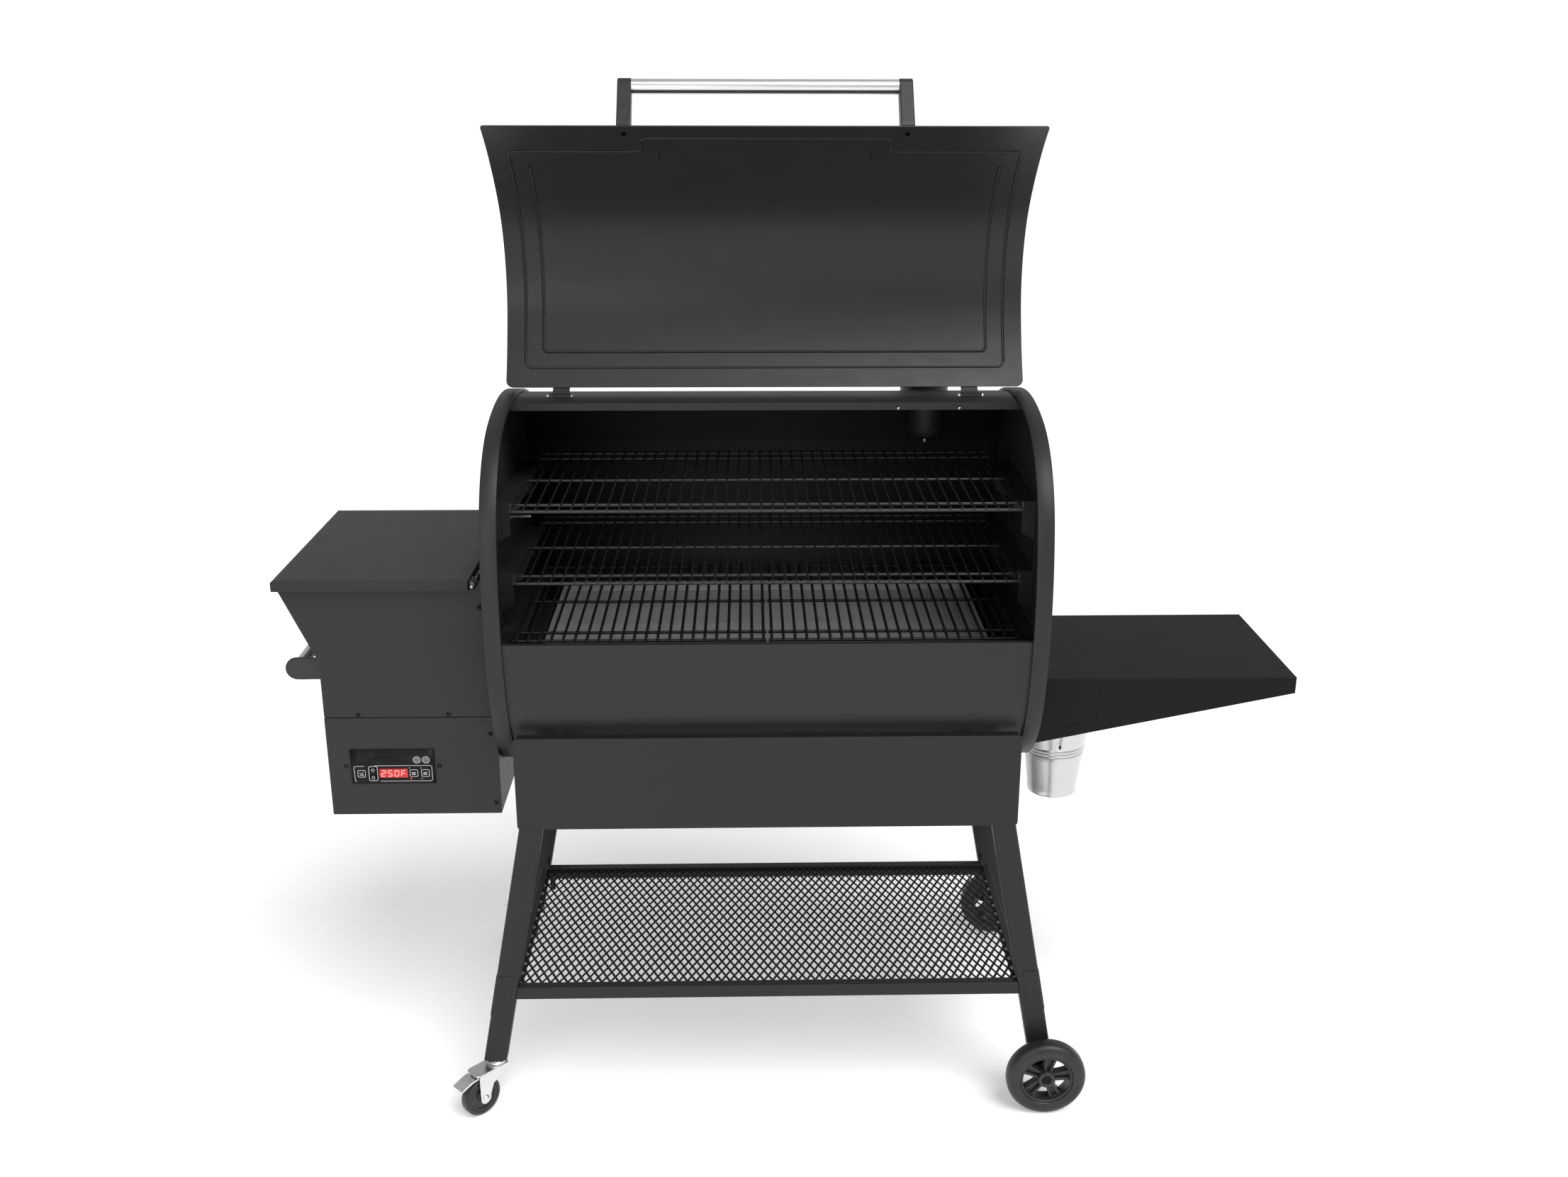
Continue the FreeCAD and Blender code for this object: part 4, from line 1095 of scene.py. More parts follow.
    def hinges(self) -> None:
        """Two rolled hinges: fixed ears with a headed pin, and a leaf that turns with the lid."""
        leaves, bases, pins = Draft(), Draft(), Draft()
        y, z = HINGE.y, HINGE.z
        for x in self.hinge_x:
            eye = [(y - 6.0, z - 2.0), (y - 7.0, z + 6.0), (y - 24.0, z + 11.0), (y - 58.0, z + 8.9),
                   (y - 58.0, z + 11.7), (y - 24.0, z + 14.0), (y + 1.0, z + 8.5), (y + 5.2, z + 4.6),
                   (y + 6.2, z), (y + 4.4, z - 4.2), (y, z - 6.2), (y - 4.4, z - 4.4)]
            leaves.prism(eye, Axis.X, x - 16.0, x + 16.0)
            for start, sign in ((x - 20.5, -1), (x + 17.5, 1)):
                ear = [(y - 9.0, z - 3.6), (y - 7.0, z)]
                ear += arc(y, z, 7.0, 165, 15, -15)
                ear += [(y + 7.0, z), (y + 9.0, z - 3.6)]
                bases.prism(ear, Axis.X, start, start + 3.0)
                foot = x - 45.0 if sign < 0 else x + 17.7
                bases.block((foot, y - 18.0, z - 3.5), (foot + 27.3, y + 18.0, z - 0.6))
            pins.rod((x - 22.5, y, z), (x + 22.5, y, z), 3.0)
            head = [(0.01, -26.0), (4.4, -26.0), (6.2, -24.4), (6.6, -22.6), (6.6, -21.0), (0.01, -21.0)]
            nut = [(0.01, 21.0), (6.6, 21.0), (6.6, 22.6), (3.4, 26.0), (0.01, 26.0)]
            for profile in (head, nut):
                pins.lathe(profile, (x, y, z), Axis.X, 24, False)
        leaves.piece("lid_hinge_leaves", Look.SHELL, "lid", "charcoal_paint", ("hinge_leaves",), 0.5, 35.0,
                     LID_TURN)
        bases.piece("lid_hinge_ears", Look.SHELL, "grill", "charcoal_paint", ("hinge_bases",), 0.4)
        pins.piece("lid_hinge_pins", Look.ZINC, "grill", "zinc")


# ------------------------------------------------------------------ cooking surfaces

@dataclass
class WireRack:
    """Rods welded on cross wires, with turned-down posts at the corners."""

    node: str
    left: float
    right: float
    level: float
    count: int
    rod: float = 1.7
    cross: float = 3.0
    front: float = -195.0
    depth: float = 450.0
    posts: bool = True
    look: Look = Look.RACK
    slot: str = "rack_steel"

    def build(self) -> None:
        """Make the rods, the cross wires and the posts as one welded piece."""
        draft = Draft()
        back = self.front + self.depth
        for y in (self.front + 4, self.front + 48, 30.0, back - 48, back - 4):
            bold = self.cross + 0.4 if y == self.front + 4 else self.cross
            draft.rod((self.left, y, self.level), (self.right, y, self.level), bold, 12)
        high = self.level + self.cross + self.rod - 0.6
        for k in range(self.count):
            x = self.left + 6 + (self.right - self.left - 12) * k / (self.count - 1)
            path = [Vector((x, self.front + 1.2, high - 1.6)), Vector((x, self.front + 2.4, high - 0.3)),
                    Vector((x, self.front + 5, high)), Vector((x, back - 5, high)),
                    Vector((x, back - 2.4, high - 0.3)), Vector((x, back - 1.2, high - 1.6))]
            draft.pipe(path, self.rod, 10)
            for y in (self.front + 2.6, back - 2.6):
                draft.lathe([(0.01, -2.6), (1.9, -1.9), (2.7, 0.0), (1.9, 1.9), (0.01, 2.6)],
                            (x, y, self.level + 2.6), Axis.Z, 10, False)
        if self.posts:
            for x in (self.left + 3, self.right - 3):
                for y in (self.front + 4, back - 4):
                    draft.pipe([Vector((x, y, self.level)), Vector((x, y, self.level + 14)),
                                Vector((x * 0.999, y, self.level + 16))], 2.4, 10)
        draft.piece(self.node + "_wires", self.look, self.node, self.slot, (self.node,))


@dataclass
class DripTray:
    """A shallow pressed tray with round corners and a rolled edge."""

    half: float = 420.0
    front: float = -185.0
    back: float = 245.0
    low: float = 905.0
    tall: float = 22.0

    def build(self) -> None:
        """Make the tray."""
        draft = Draft()
        rings = []
        for inset, height, radius in ((16.0, 0.0, 10.0), (3.2, 0.2, 22.0), (1.4, 1.4, 23.5), (0.8, 4.0, 24.0),
                                      (0.3, self.tall - 1.4, 24.0), (0.0, self.tall - 0.6, 24.0),
                                      (0.3, self.tall, 24.0), (1.2, self.tall - 0.2, 23.5),
                                      (1.6, self.tall - 2.0, 23.0), (2.2, 4.4, 22.5), (3.0, 2.2, 22.0),
                                      (5.0, 1.4, 20.0), (16.0, 1.2, 10.0)):
            outline = rounded(-self.half + inset, self.front + inset, self.half - inset, self.back - inset,
                              radius, 8)
            rings.append([Vector((x, y, self.low + height)) for x, y in outline])
        draft.stack(rings)
        draft.piece("drip_tray_pressing", Look.TRAY, "drip_tray", "tray_steel", ("drip_tray",))


def dress(names: tuple[str, ...], look: Look, bevel: float = 0.0) -> None:
    """Give carried-over CAD nodes a finish and, if asked, softened edges.

    Args:
        names: The nodes.
        look: Their finish.
        bevel: Edge softening in millimetres, or 0.
    """
    for name in names:
        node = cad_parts[name]
        for k in range(max(1, len(node.data.materials))):
            if k < len(node.data.materials):
                node.data.materials[k] = look.material()
            else:
                node.data.materials.append(look.material())
        if bevel:
            weld = node.modifiers.new("weld", "WELD")
            weld.merge_threshold = 0.00001
            soften(node, bevel)
        LOG.info("node %s wears %s", name, look.name)


# ------------------------------------------------------------------ hopper

def gauge(obj: bpy.types.Object, thick: float, offset: float = -1.0) -> None:
    """Give a single-skin object a sheet thickness.

    Args:
        obj: The object.
        thick: The thickness in millimetres.
        offset: Which way it grows: -1 inward, 1 outward.
    """
    modifier = obj.modifiers.new("gauge", "SOLIDIFY")
    modifier.thickness = thick / 1000.0
    modifier.offset = offset
    even = obj.modifiers.get("even_faces")
    if even:
        obj.modifiers.move(obj.modifiers.find("even_faces"), len(obj.modifiers) - 1)


def holed(draft: Draft, axis: Axis, level: float, cuts_a: list[float], cuts_b: list[float],
          holes: set[tuple[int, int]]) -> None:
    """A flat panel of cells with some of them left out.

    Args:
        draft: Where to add it.
        axis: The axis it faces.
        level: Its place on that axis.
        cuts_a: Cell borders along the first other axis.
        cuts_b: Cell borders along the second other axis.
        holes: Cells left out.
    """
    for i in range(len(cuts_a) - 1):
        for j in range(len(cuts_b) - 1):
            if (i, j) not in holes:
                a0, a1, b0, b1 = cuts_a[i], cuts_a[i + 1], cuts_b[j], cuts_b[j + 1]
                draft.cap([axis.place(level, a, b) for a, b in ((a0, b0), (a1, b0), (a1, b1), (a0, b1))])


@dataclass
class Hopper:
    """The pellet bin with its lid, the control box below it and the side bar."""

    left: float = -818.0
    right: float = -502.0
    brow: float = -886.0
    front: float = -211.0
    back: float = 260.0
    top: float = 1063.0
    knee: float = 924.0
    lean: float = 13.0
    seam: float = 814.0
    floor: float = 617.5
    lid_left: float = -889.0
    lid_right: float = -536.0
    lid_front: float = -217.0
    lid_back: float = 266.0
    lid_top: float = 1079.0
    grip_x: float = -868.0
    grip_z: float = 899.0
    grip_front: float = -172.0
    grip_back: float = 212.0

    def build(self) -> None:
        """Make every piece of the hopper."""
        self.bin()
        self.cover()
        self.box()
        self.bar()
        dress(("hopper_guard",), Look.STEEL)
        dress(("power_inlet",), Look.PLASTIC)
        dress(("controller_board",), Look.BOARD)

    def bin(self) -> None:
        """Folded walls with a deck beside the lid and a sloping chute inside."""
        foot = self.seam + 0.2
        side = [(self.brow, self.top), (self.left, self.knee), (self.left, foot), (self.right, foot),
                (self.right, self.top)]

        def front(x: float, z: float) -> Vector:
            """A point on the front wall, which leans back above the knee."""
            return Vector((x, self.front + self.lean * max(0.0, (z - self.knee) / (self.top - self.knee)), z))

        walls = Draft()
        walls.cap([Vector((x, self.back, z)) for x, z in side])
        knee, brow = front(self.right, self.knee), front(self.right, self.top)
        walls.cap([front(x, z) for x, z in side[1:4]] + [knee])
        walls.cap([front(x, z) for x, z in side[:2]] + [knee, brow])
        for (xa, za), (xb, zb) in zip(side[:3], side[1:4]):
            walls.cap([front(xa, za), front(xb, zb), Vector((xb, self.back, zb)),
                       Vector((xa, self.back, za))])
        walls.cap([front(self.right, foot), knee, brow, Vector((self.right, self.back, self.top)),
                   Vector((self.right, self.back, foot))])
        obj = walls.piece("hopper_walls", Look.SHELL, "grill", "charcoal_paint", ("hopper_bin",), 1.6, 3.0)
        obj.modifiers["soft_edges"].segments = 3
        gauge(obj, 1.5)
        inside = Draft()
        inside.block((self.lid_right + 0.4, self.front + 1.6, self.top - 1.5),
                     (self.right - 1.6, self.back - 1.6, self.top))
        for tip, out in ((-690.0, self.left + 2.2), (-630.0, self.right - 2.2)):
            lean = 1.5 if out > tip else -1.5
            inside.prism([(tip, self.seam + 2), (out, 900.0), (out, 902.0), (tip - lean, self.seam + 2)],
                         Axis.Y, self.front + 2, self.back - 2)
        for y in (-144.0, 196.0):
            inside.block((self.lid_right, y - 6, self.top - 1), (self.lid_right + 8, y + 6, self.top + 8))
        inside.piece("hopper_chute_and_deck", Look.SHELL, "grill", "charcoal_paint", (), 0.5)

    def cover(self) -> None:
        """The bin's pressed lid with its hinge rod."""
        rings = []
        low = self.lid_top - 17.5
        for inset, height, radius in ((26.0, 0.0, 1.0), (2.4, 0.0, 1.2), (1.2, -0.3, 1.8), (0.35, -1.0, 2.4),
                                      (0.0, -2.2, 2.8), (0.0, -17.1, 2.8), (0.3, -17.5, 2.6),
                                      (1.5, -17.5, 1.6),
                                      (1.6, -2.6, 1.6), (2.4, -1.8, 1.2), (26.0, -1.8, 1.0)):
            outline = rounded(self.lid_left + inset, self.lid_front + inset, self.lid_right - inset,
                              self.lid_back - inset, radius, 8)
            rings.append([Vector((x, y, self.lid_top + height)) for x, y in outline])
        draft = Draft()
        draft.stack(rings)
        draft.piece("hopper_cover", Look.SHELL, "hopper_lid", "charcoal_paint", ("hopper_lid",))
        hinge = Draft()
        x, z = self.lid_right + 4, self.top + 4
        hinge.rod((x, self.front + 1, z), (x, self.back - 1, z), 3.0)
        for y in (-185.0, 25.0, 240.0):
            hinge.prism([(x - 6, low + 1), (x + 1, z - 3.6), (x + 4.2, z - 1.2), (x + 4.2, z + 1.6),
                         (x + 1, z + 4.2), (x - 6, z + 10)], Axis.Y, y - 15, y + 15)
        hinge.piece("hopper_cover_hinge", Look.STEEL, "hopper_lid", "charcoal_paint", (), 0.3)

    def box(self) -> None:
        """The folded control box, open behind its plate and at the power inlet."""
        draft = Draft()
        x0, x1, z0, z1 = self.left, self.right, self.floor, self.seam - 0.4
        holed(draft, Axis.Y, self.front, [x0, -771.0, -627.0, x1], [z0, 687.0, 745.0, z1], {(1, 1)})
        holed(draft, Axis.Y, self.back, [x0, -750.4, -721.6, x1], [z0, 659.6, 680.4, z1], {(1, 1)})
        for x in (x0, x1):
            draft.cap([Vector((x, self.front, z0)), Vector((x, self.back, z0)), Vector((x, self.back, z1)),
                       Vector((x, self.front, z1))])
        for z in (z0, z1):
            draft.cap([Vector((x0, self.front, z)), Vector((x1, self.front, z)), Vector((x1, self.back, z)),
                       Vector((x0, self.back, z))])
        obj = draft.piece("control_box_walls", Look.SHELL, "grill", "charcoal_paint", ("control_box",), 1.4,
                          5.0)
        gauge(obj, 1.5)

    def bar(self) -> None:
        """The polished bar on two brackets."""
        tube = Draft()
        tube.lathe([(12.0, self.grip_front), (12.0, self.grip_back), (10.5, self.grip_back),
                    (10.5, self.grip_front)], (self.grip_x, 0.0, self.grip_z), Axis.Y, 48)
        tube.piece("hopper_bar", Look.CHROME, "grill", "chrome", ("hopper_handle_tube",))
        arms = Draft()
        side = [(-818.3, 878.0), (-818.3, 919.0), (-838.0, 920.0), (-862.0, 920.6)]
        side += arc(self.grip_x, self.grip_z, 21.6, 80, 280, 20)
        side += [(-862.0, 877.4), (-838.0, 877.8)]
        for near in (self.grip_front - 7, self.grip_back + 0.2):
            arms.prism(side, Axis.Y, near, near + 6.8)
        arms.piece("hopper_bar_brackets", Look.PLASTIC, "grill", "charcoal_paint",
                   ("hopper_handle_brackets",), 1.6)


# Which bars of a seven-bar figure are lit, and where each bar runs over the figure's width and height.
FIGURE_BARS = {"2": "abged", "5": "afgcd", "0": "abcdef", "F": "afge"}
BAR_ENDS = {"a": ((0, 1), (1, 1)), "b": ((1, 1), (1, 0.5)), "c": ((1, 0.5), (1, 0)), "d": ((0, 0), (1, 0)),
            "e": ((0, 0.5), (0, 0)), "f": ((0, 1), (0, 0.5)), "g": ((0, 0.5), (1, 0.5))}


@dataclass
class ControlPanel:
    """The dark plate with its keys, its lit display, two probe jacks and printed outlines."""

    face: float = -213.0
    left: float = -777.0
    right: float = -621.0
    low: float = 681.5
    high: float = 750.5
    keys: dict[Key, tuple[float, float, float, float]] = field(default_factory=lambda: {
        Key.POWER: (-758.0, 701.7, 11.0, 11.0), Key.UP: (-736.4, 709.4, 9.0, 8.0),
        Key.DOWN: (-736.4, 694.6, 9.0, 8.0), Key.MODE: (-661.0, 702.3, 11.6, 11.0),
        Key.PRIME: (-639.6, 702.3, 11.6, 11.0)})
    jacks: tuple[Point, ...] = ((-654.0, 729.2), (-637.0, 729.2))
    window: tuple[float, float, float, float] = (-724.7, 693.6, -672.1, 711.4)
    figures: str = "250F"
    figure_wide: float = 7.2
    figure_tall: float = 11.6
    figure_pitch: float = 12.4
    figure_lean: float = 0.10
    out: Vector = field(default_factory=lambda: Vector((0.0, 1.0, 0.0)))

    def build(self) -> None:
        """Make the plate, the keys, the display, the jacks and the print."""
        self.plate()
        for key in self.keys:
            self.key(key)
        self.display()
        self.prints()

    def plate(self) -> None:
        """The plate with soft edges, and the jack bodies."""
        gap = 0.35
        wells = [(x - wide / 2 - gap, z - tall / 2 - gap, x + wide / 2 + gap, z + tall / 2 + gap)
                 for x, z, wide, tall in self.keys.values()]
        cuts_x = sorted({self.left, self.right} | {v for w in wells for v in (w[0], w[2])})
        cuts_z = sorted({self.low, self.high} | {v for w in wells for v in (w[1], w[3])})
        gone = {(i, j) for i in range(len(cuts_x) - 1) for j in range(len(cuts_z) - 1)
                if any(w[0] < (cuts_x[i] + cuts_x[i + 1]) / 2 < w[2]
                       and w[1] < (cuts_z[j] + cuts_z[j + 1]) / 2 < w[3] for w in wells)}
        draft = Draft()
        holed(draft, Axis.Y, self.face, cuts_x, cuts_z, gone)
        plate = draft.piece("control_face", Look.PANEL, "grill", "gloss_black", ("control_plate",), 0.0, 5.0)
        gauge(plate, 1.9)
        plate.modifiers["gauge"].offset = self.side_of(plate)
        bodies = Draft()
        for x, z in self.jacks:
            bodies.lathe([(5.4, 0.0), (5.4, -1.2), (4.8, -1.9), (3.6, -1.9), (3.2, -1.2), (1.9, -0.9),
                          (1.6, 0.2)],
                         (x, self.face, z), Axis.Y, 36, False)
            bodies.lathe([(0.01, -0.3), (1.7, -0.3), (1.7, 0.2), (0.01, 0.2)], (x, self.face, z), Axis.Y, 24)
        bodies.piece("probe_jacks", Look.JACK, "grill", "gloss_black")

    def side_of(self, plate: bpy.types.Object) -> float:
        """The solidify offset that grows the plate backward from its front face."""
        return -1.0 if plate.data.polygons[0].normal.y < 0 else 1.0

    def line(self, draft: Draft, path: list[Point], closed: bool, wide: float, at: float) -> None:
        """A flat printed line on a face.

        Args:
            draft: Where to add it.
            path: Points in X and Z.
            closed: Whether it joins up.
            wide: Half its width.
            at: Its place in Y.
        """
        draft.pipe([Vector((x, at, z)) for x, z in path], wide, 6, closed, 0.3, self.out)

    def key(self, key: Key) -> None:
        """One key cap with its pale symbol, on its own body.

        Args:
            key: Which key.
        """
        x, z, wide, tall = self.keys[key]
        body = "button_" + key.value
        cap = Draft()
        cap.prism(rounded(x - wide / 2, z - tall / 2, x + wide / 2, z + tall / 2, 1.8), Axis.Y,
                  self.face - 1.5, self.face + 4.4)
        cap.piece("key_" + key.value, Look.PANEL, body, "gloss_black", (body,), 0.35)
        mark = Draft()
        top = self.face - 1.52
        if key in (Key.UP, Key.DOWN):
            way = 1.0 if key is Key.UP else -1.0
            arrow = [(-3.6, 0.2), (0.0, 3.4), (3.6, 0.2), (1.7, 0.2), (1.7, -2.8), (-1.7, -2.8), (-1.7, 0.2)]
            self.line(mark, [(x + a, z + b * way) for a, b in arrow], True, 0.42, top)
        elif key is Key.POWER:
            self.line(mark, [(x - 3.4, z - 3.8), (x + 3.4, z + 3.8)], False, 0.45, top)
            self.line(mark, [(x - 2.6, z + 1.0), (x - 2.6, z + 3.6)], False, 0.45, top)
            self.line(mark, arc(x + 2.4, z - 2.2, 1.5, 0, 336, 24), True, 0.4, top)
        else:
            for step in (1.7, -1.7):
                self.line(mark, [(x - 3.6, z + step), (x + 3.6, z + step)], False, 0.75, top)
        mark.piece("key_mark_" + key.value, Look.PRINT, body, "gloss_black")

    def display(self) -> None:
        """The red window and its four seven-bar figures."""
        x0, z0, x1, z1 = self.window
        window = Draft()
        window.prism(rounded(x0, z0, x1, z1, 0.8), Axis.Y, self.face - 0.4, self.face + 3.0)
        window.piece("display_window", Look.GLOW_BACK, "grill", "display_red", ("display",), 0.2)
        bars = Draft()
        wide, tall = self.figure_wide, self.figure_tall
        base = z0 + (z1 - z0 - tall) / 2
        for k, figure in enumerate(self.figures):
            left = x0 + 3.1 + self.figure_pitch * k
            for bar in FIGURE_BARS[figure]:
                start, end = (Vector((left + wide * a + self.figure_lean * tall * b, self.face - 0.42,
                                      base + tall * b)) for a, b in BAR_ENDS[bar])
                trim = (end - start).normalized() * 0.8
                bars.pipe([start + trim, end - trim], 0.72, 6, False, 0.3, self.out)
        bars.piece("display_figures", Look.GLOW, "grill", "display_red")

    def prints(self) -> None:
        """Printed outlines, rings and small dots."""
        draft = Draft()
        at = self.face - 0.02
        group = [(-733.0, 718.0)] + arc(-631.0, 714.0, 4.0, 0, 90)[::-1]
        group += arc(-631.0, 690.5, 4.0, -90, 0)[::-1] + [(-724.0, 686.5)]
        self.line(draft, group, False, 0.42, at)
        hook = [(-752.0, 717.0)] + arc(-767.5, 713.0, 4.0, 90, 180) + arc(-766.5, 689.0, 4.0, 180, 240)
        self.line(draft, hook, False, 0.42, at)
        self.line(draft, rounded(-765.0, 694.7, -751.0, 708.7, 2.6), True, 0.5, at)
        self.line(draft, rounded(-744.4, 687.6, -728.4, 716.4, 3.0), True, 0.5, at)
        for key in (Key.MODE, Key.PRIME):
            x, z = self.keys[key][:2]
            self.line(draft, rounded(x - 7.2, z - 6.8, x + 7.2, z + 6.8, 2.4), True, 0.5, at)
        for x, z in self.jacks:
            self.line(draft, arc(x, z, 6.5, 0, 345), True, 0.55, at)
        for x, z in ((-668.4, 712.9), (-647.2, 712.9), (-646.6, 691.4)):
            self.line(draft, arc(x, z, 0.9, 0, 345), True, 0.22, at)
        draft.piece("control_print", Look.PRINT, "grill", "gloss_black")
        lamp = Draft()
        lamp.lathe([(0.01, -0.35), (0.9, -0.25), (1.3, 0.0), (1.3, 0.4), (0.01, 0.4)],
                   (-666.8, self.face, 691.6), Axis.Y, 20)
        lamp.piece("control_lamp", Look.LAMP, "grill", "display_red")


# ------------------------------------------------------------------ side table, pail and spout

@dataclass
class SideTable:
    """The folded shelf beside the barrel, with pressed beads on its gussets."""

    inner: float = 500.4
    outer: float = 996.5
    front: float = -174.0
    back: float = 183.0
    top: float = 867.0
    rim: float = 32.0
    drop: float = 132.0
    beads: tuple[tuple[Point, ...], ...] = (
        ((531.0, 762.0), (625.0, 781.0), (625.0, 842.0)), ((650.0, 786.0), (743.0, 804.0), (744.0, 841.0)),
        ((768.0, 810.0), (899.0, 836.0), (900.0, 846.0)))

    def build(self) -> None:
        """Make the folded sheet, and dark lines of painted shade along its beads."""
        draft = Draft()
        x0, x1, y0, y1 = self.inner, self.outer, self.front, self.back
        slots_x = [x0, x1 - 18.0, x1 - 4.0, x1]
        slots_y = [y0, -125.0, -121.0, 138.0, 142.0, y1]
        holed(draft, Axis.Z, self.top, slots_x, slots_y, {(1, 1), (1, 3)})
        low_in, low_out = self.top - self.drop, self.top - self.rim
        for y in (y0, y1):
            upper = [Vector((x, y, self.top)) for x in slots_x]
            draft.cap([Vector((x0, y, low_in)), Vector((x1, y, low_out))] + upper[::-1])
        draft.cap([Vector((x1, y, self.top)) for y in slots_y]
                  + [Vector((x1, y1, low_out)), Vector((x1, y0, low_out))])
        holed(draft, Axis.X, x0, [y0, 0.0, 60.0, y1], [low_in, 760.0, self.top], {(1, 0)})
        obj = draft.piece("table_sheet", Look.TABLE, "grill", "charcoal_paint", ("side_table",), 1.2, 5.0)
        gauge(obj, 2.0)
        # The beads are thin pipes in the black panel finish, darker than the sheet: painted shade for the
        # pressed beads.
        bead_shade = Draft()
        for y, out in ((y0, -1.0), (y1, 1.0)):
            for bead in self.beads:
                bead_shade.pipe(self.curl(bead, y + out * 0.1), 1.0, 10, False, 0.6, Vector((0, 1, 0)))
        bead_shade.piece("table_beads", Look.PANEL, "grill", "charcoal_paint")

    def curl(self, path: tuple[Point, ...], y: float) -> list[Vector]:
        """A bead path with its corner rounded.

        Args:
            path: The first end, the corner and the last end, in X and Z.
            y: The face that it lies on.

        Returns:
            The path's points.
        """
        first, corner, last = (Vector(p) for p in path)
        cut = min(6.0, (last - corner).length * 0.5)
        a = corner + (first - corner).normalized() * cut
        b = corner + (last - corner).normalized() * cut
        flat = [first] + [a.lerp(corner, t / 6).lerp(corner.lerp(b, t / 6), t / 6) for t in range(7)] + [last]
        return [Vector((p.x, y, p.y)) for p in flat]


@dataclass
class Pail:
    """The galvanised grease pail with its wire bail, and the spout above it."""

    x: float = 589.0
    y: float = 30.0
    floor: float = 543.0
    top: float = 690.0
    low_radius: float = 48.0
    top_radius: float = 66.0
    ear_z: float = 661.9
    reach: float = 76.0
    ribs: tuple[float, ...] = (634.5, 642.0, 649.5)

    def radius(self, z: float) -> float:
        """Outer radius at a height."""
        share = (z - self.floor) / (self.top - self.floor)
        return self.low_radius + (self.top_radius - self.low_radius) * share

    def build(self) -> None:
        """Make the pail, its ears, its bail and the spout."""
        foot, low = self.low_radius, self.floor
        outside = [(0.01, low + 2.0), (foot - 4, low + 2.0), (foot - 2, low), (foot + 0.6, low + 0.4),
                   (foot + 1.6, low + 2.5), (foot + 1.2, low + 5.0)]
        z = self.floor + 8.0
        while z < self.top - 4.0:
            bulge = sum(1.5 * math.exp(-((z - rib) / 1.7) ** 2) for rib in self.ribs)
            outside.append((self.radius(z) + bulge, z))
            z += 1.1 if 629 < z < 655 else 6.0
        rim = arc(self.top_radius - 0.2, self.top - 1.0, 2.0, -60, 174, 26)
        inside = [(self.radius(h) - 1.0, h)
                  for h in (680.0, 655.0, 600.0, 548.0)] + [(0.01, self.floor + 3.2)]
        draft = Draft()
        draft.lathe(outside + rim + inside, (self.x, self.y, 0.0), Axis.Z, 96, False)
        for sign in (-1.0, 1.0):
            ear = rounded(self.x - 9, self.ear_z - 10, self.x + 9, self.ear_z + 10, 6.0)
            near = self.y + sign * (self.radius(self.ear_z) + 0.2)
            draft.prism(ear, Axis.Y, near, near + sign * 1.2)
        draft.piece("pail_body", Look.GALVANISED, "bucket", "galvanised", ("bucket",), 0.0, 40.0)
        # Dark discs in the soot finish on the ears, round the bail's ends: painted shade standing in for the
        # holes.
        ear_hole_shade = Draft()
        for sign in (-1.0, 1.0):
            near = self.y + sign * (self.radius(self.ear_z) + 1.42)
            ear_hole_shade.lathe([(0.01, 0.0), (4.2, 0.0), (4.2, sign * 0.3), (0.01, sign * 0.3)],
                       (self.x, near, self.ear_z), Axis.Y, 20)
        ear_hole_shade.piece("pail_eyelets", Look.INNER, "bucket", "galvanised")
        wire = Draft()
        path = [Vector((self.x, self.y - 59.8, self.ear_z)), Vector((self.x, self.y - 70.0, self.ear_z))]
        path += [Vector((self.x, self.y - self.reach * math.cos(t), self.ear_z + self.reach * math.sin(t)))
                 for t in (math.pi * k / 30 for k in range(1, 30))]
        path += [Vector((self.x, self.y + 70.0, self.ear_z)), Vector((self.x, self.y + 59.8, self.ear_z))]
        wire.pipe(path, 1.5, 10)
        wire.piece("pail_bail", Look.ZINC, "bail", "zinc", ("bucket_bail",))
        self.spout()

    def spout(self) -> None:
        """The bent drain spout with its flange."""
        draft = Draft()
        bend, z, end = 15.0, 722.0, self.x
        path = [Vector((502.5, self.y, z)), Vector((end - bend, self.y, z))]
        path += [Vector((end - bend + bend * math.sin(t), self.y, z - bend + bend * math.cos(t)))
                 for t in (math.radians(a) for a in range(15, 91, 15))]
        path.append(Vector((end, self.y, 694.2)))
        draft.pipe(path, 13.6, 32, False, 1.0, Vector((0, 1, 0)))
        flange = [(14.0, 500.4), (21.6, 500.4), (22.0, 501.2), (21.6, 502.3), (14.0, 502.3)]
        draft.lathe(flange, (0.0, self.y, z), Axis.X, 48)
        draft.piece("drain_spout_bend", Look.SHELL, "grill", "charcoal_paint", ("drain_spout",))


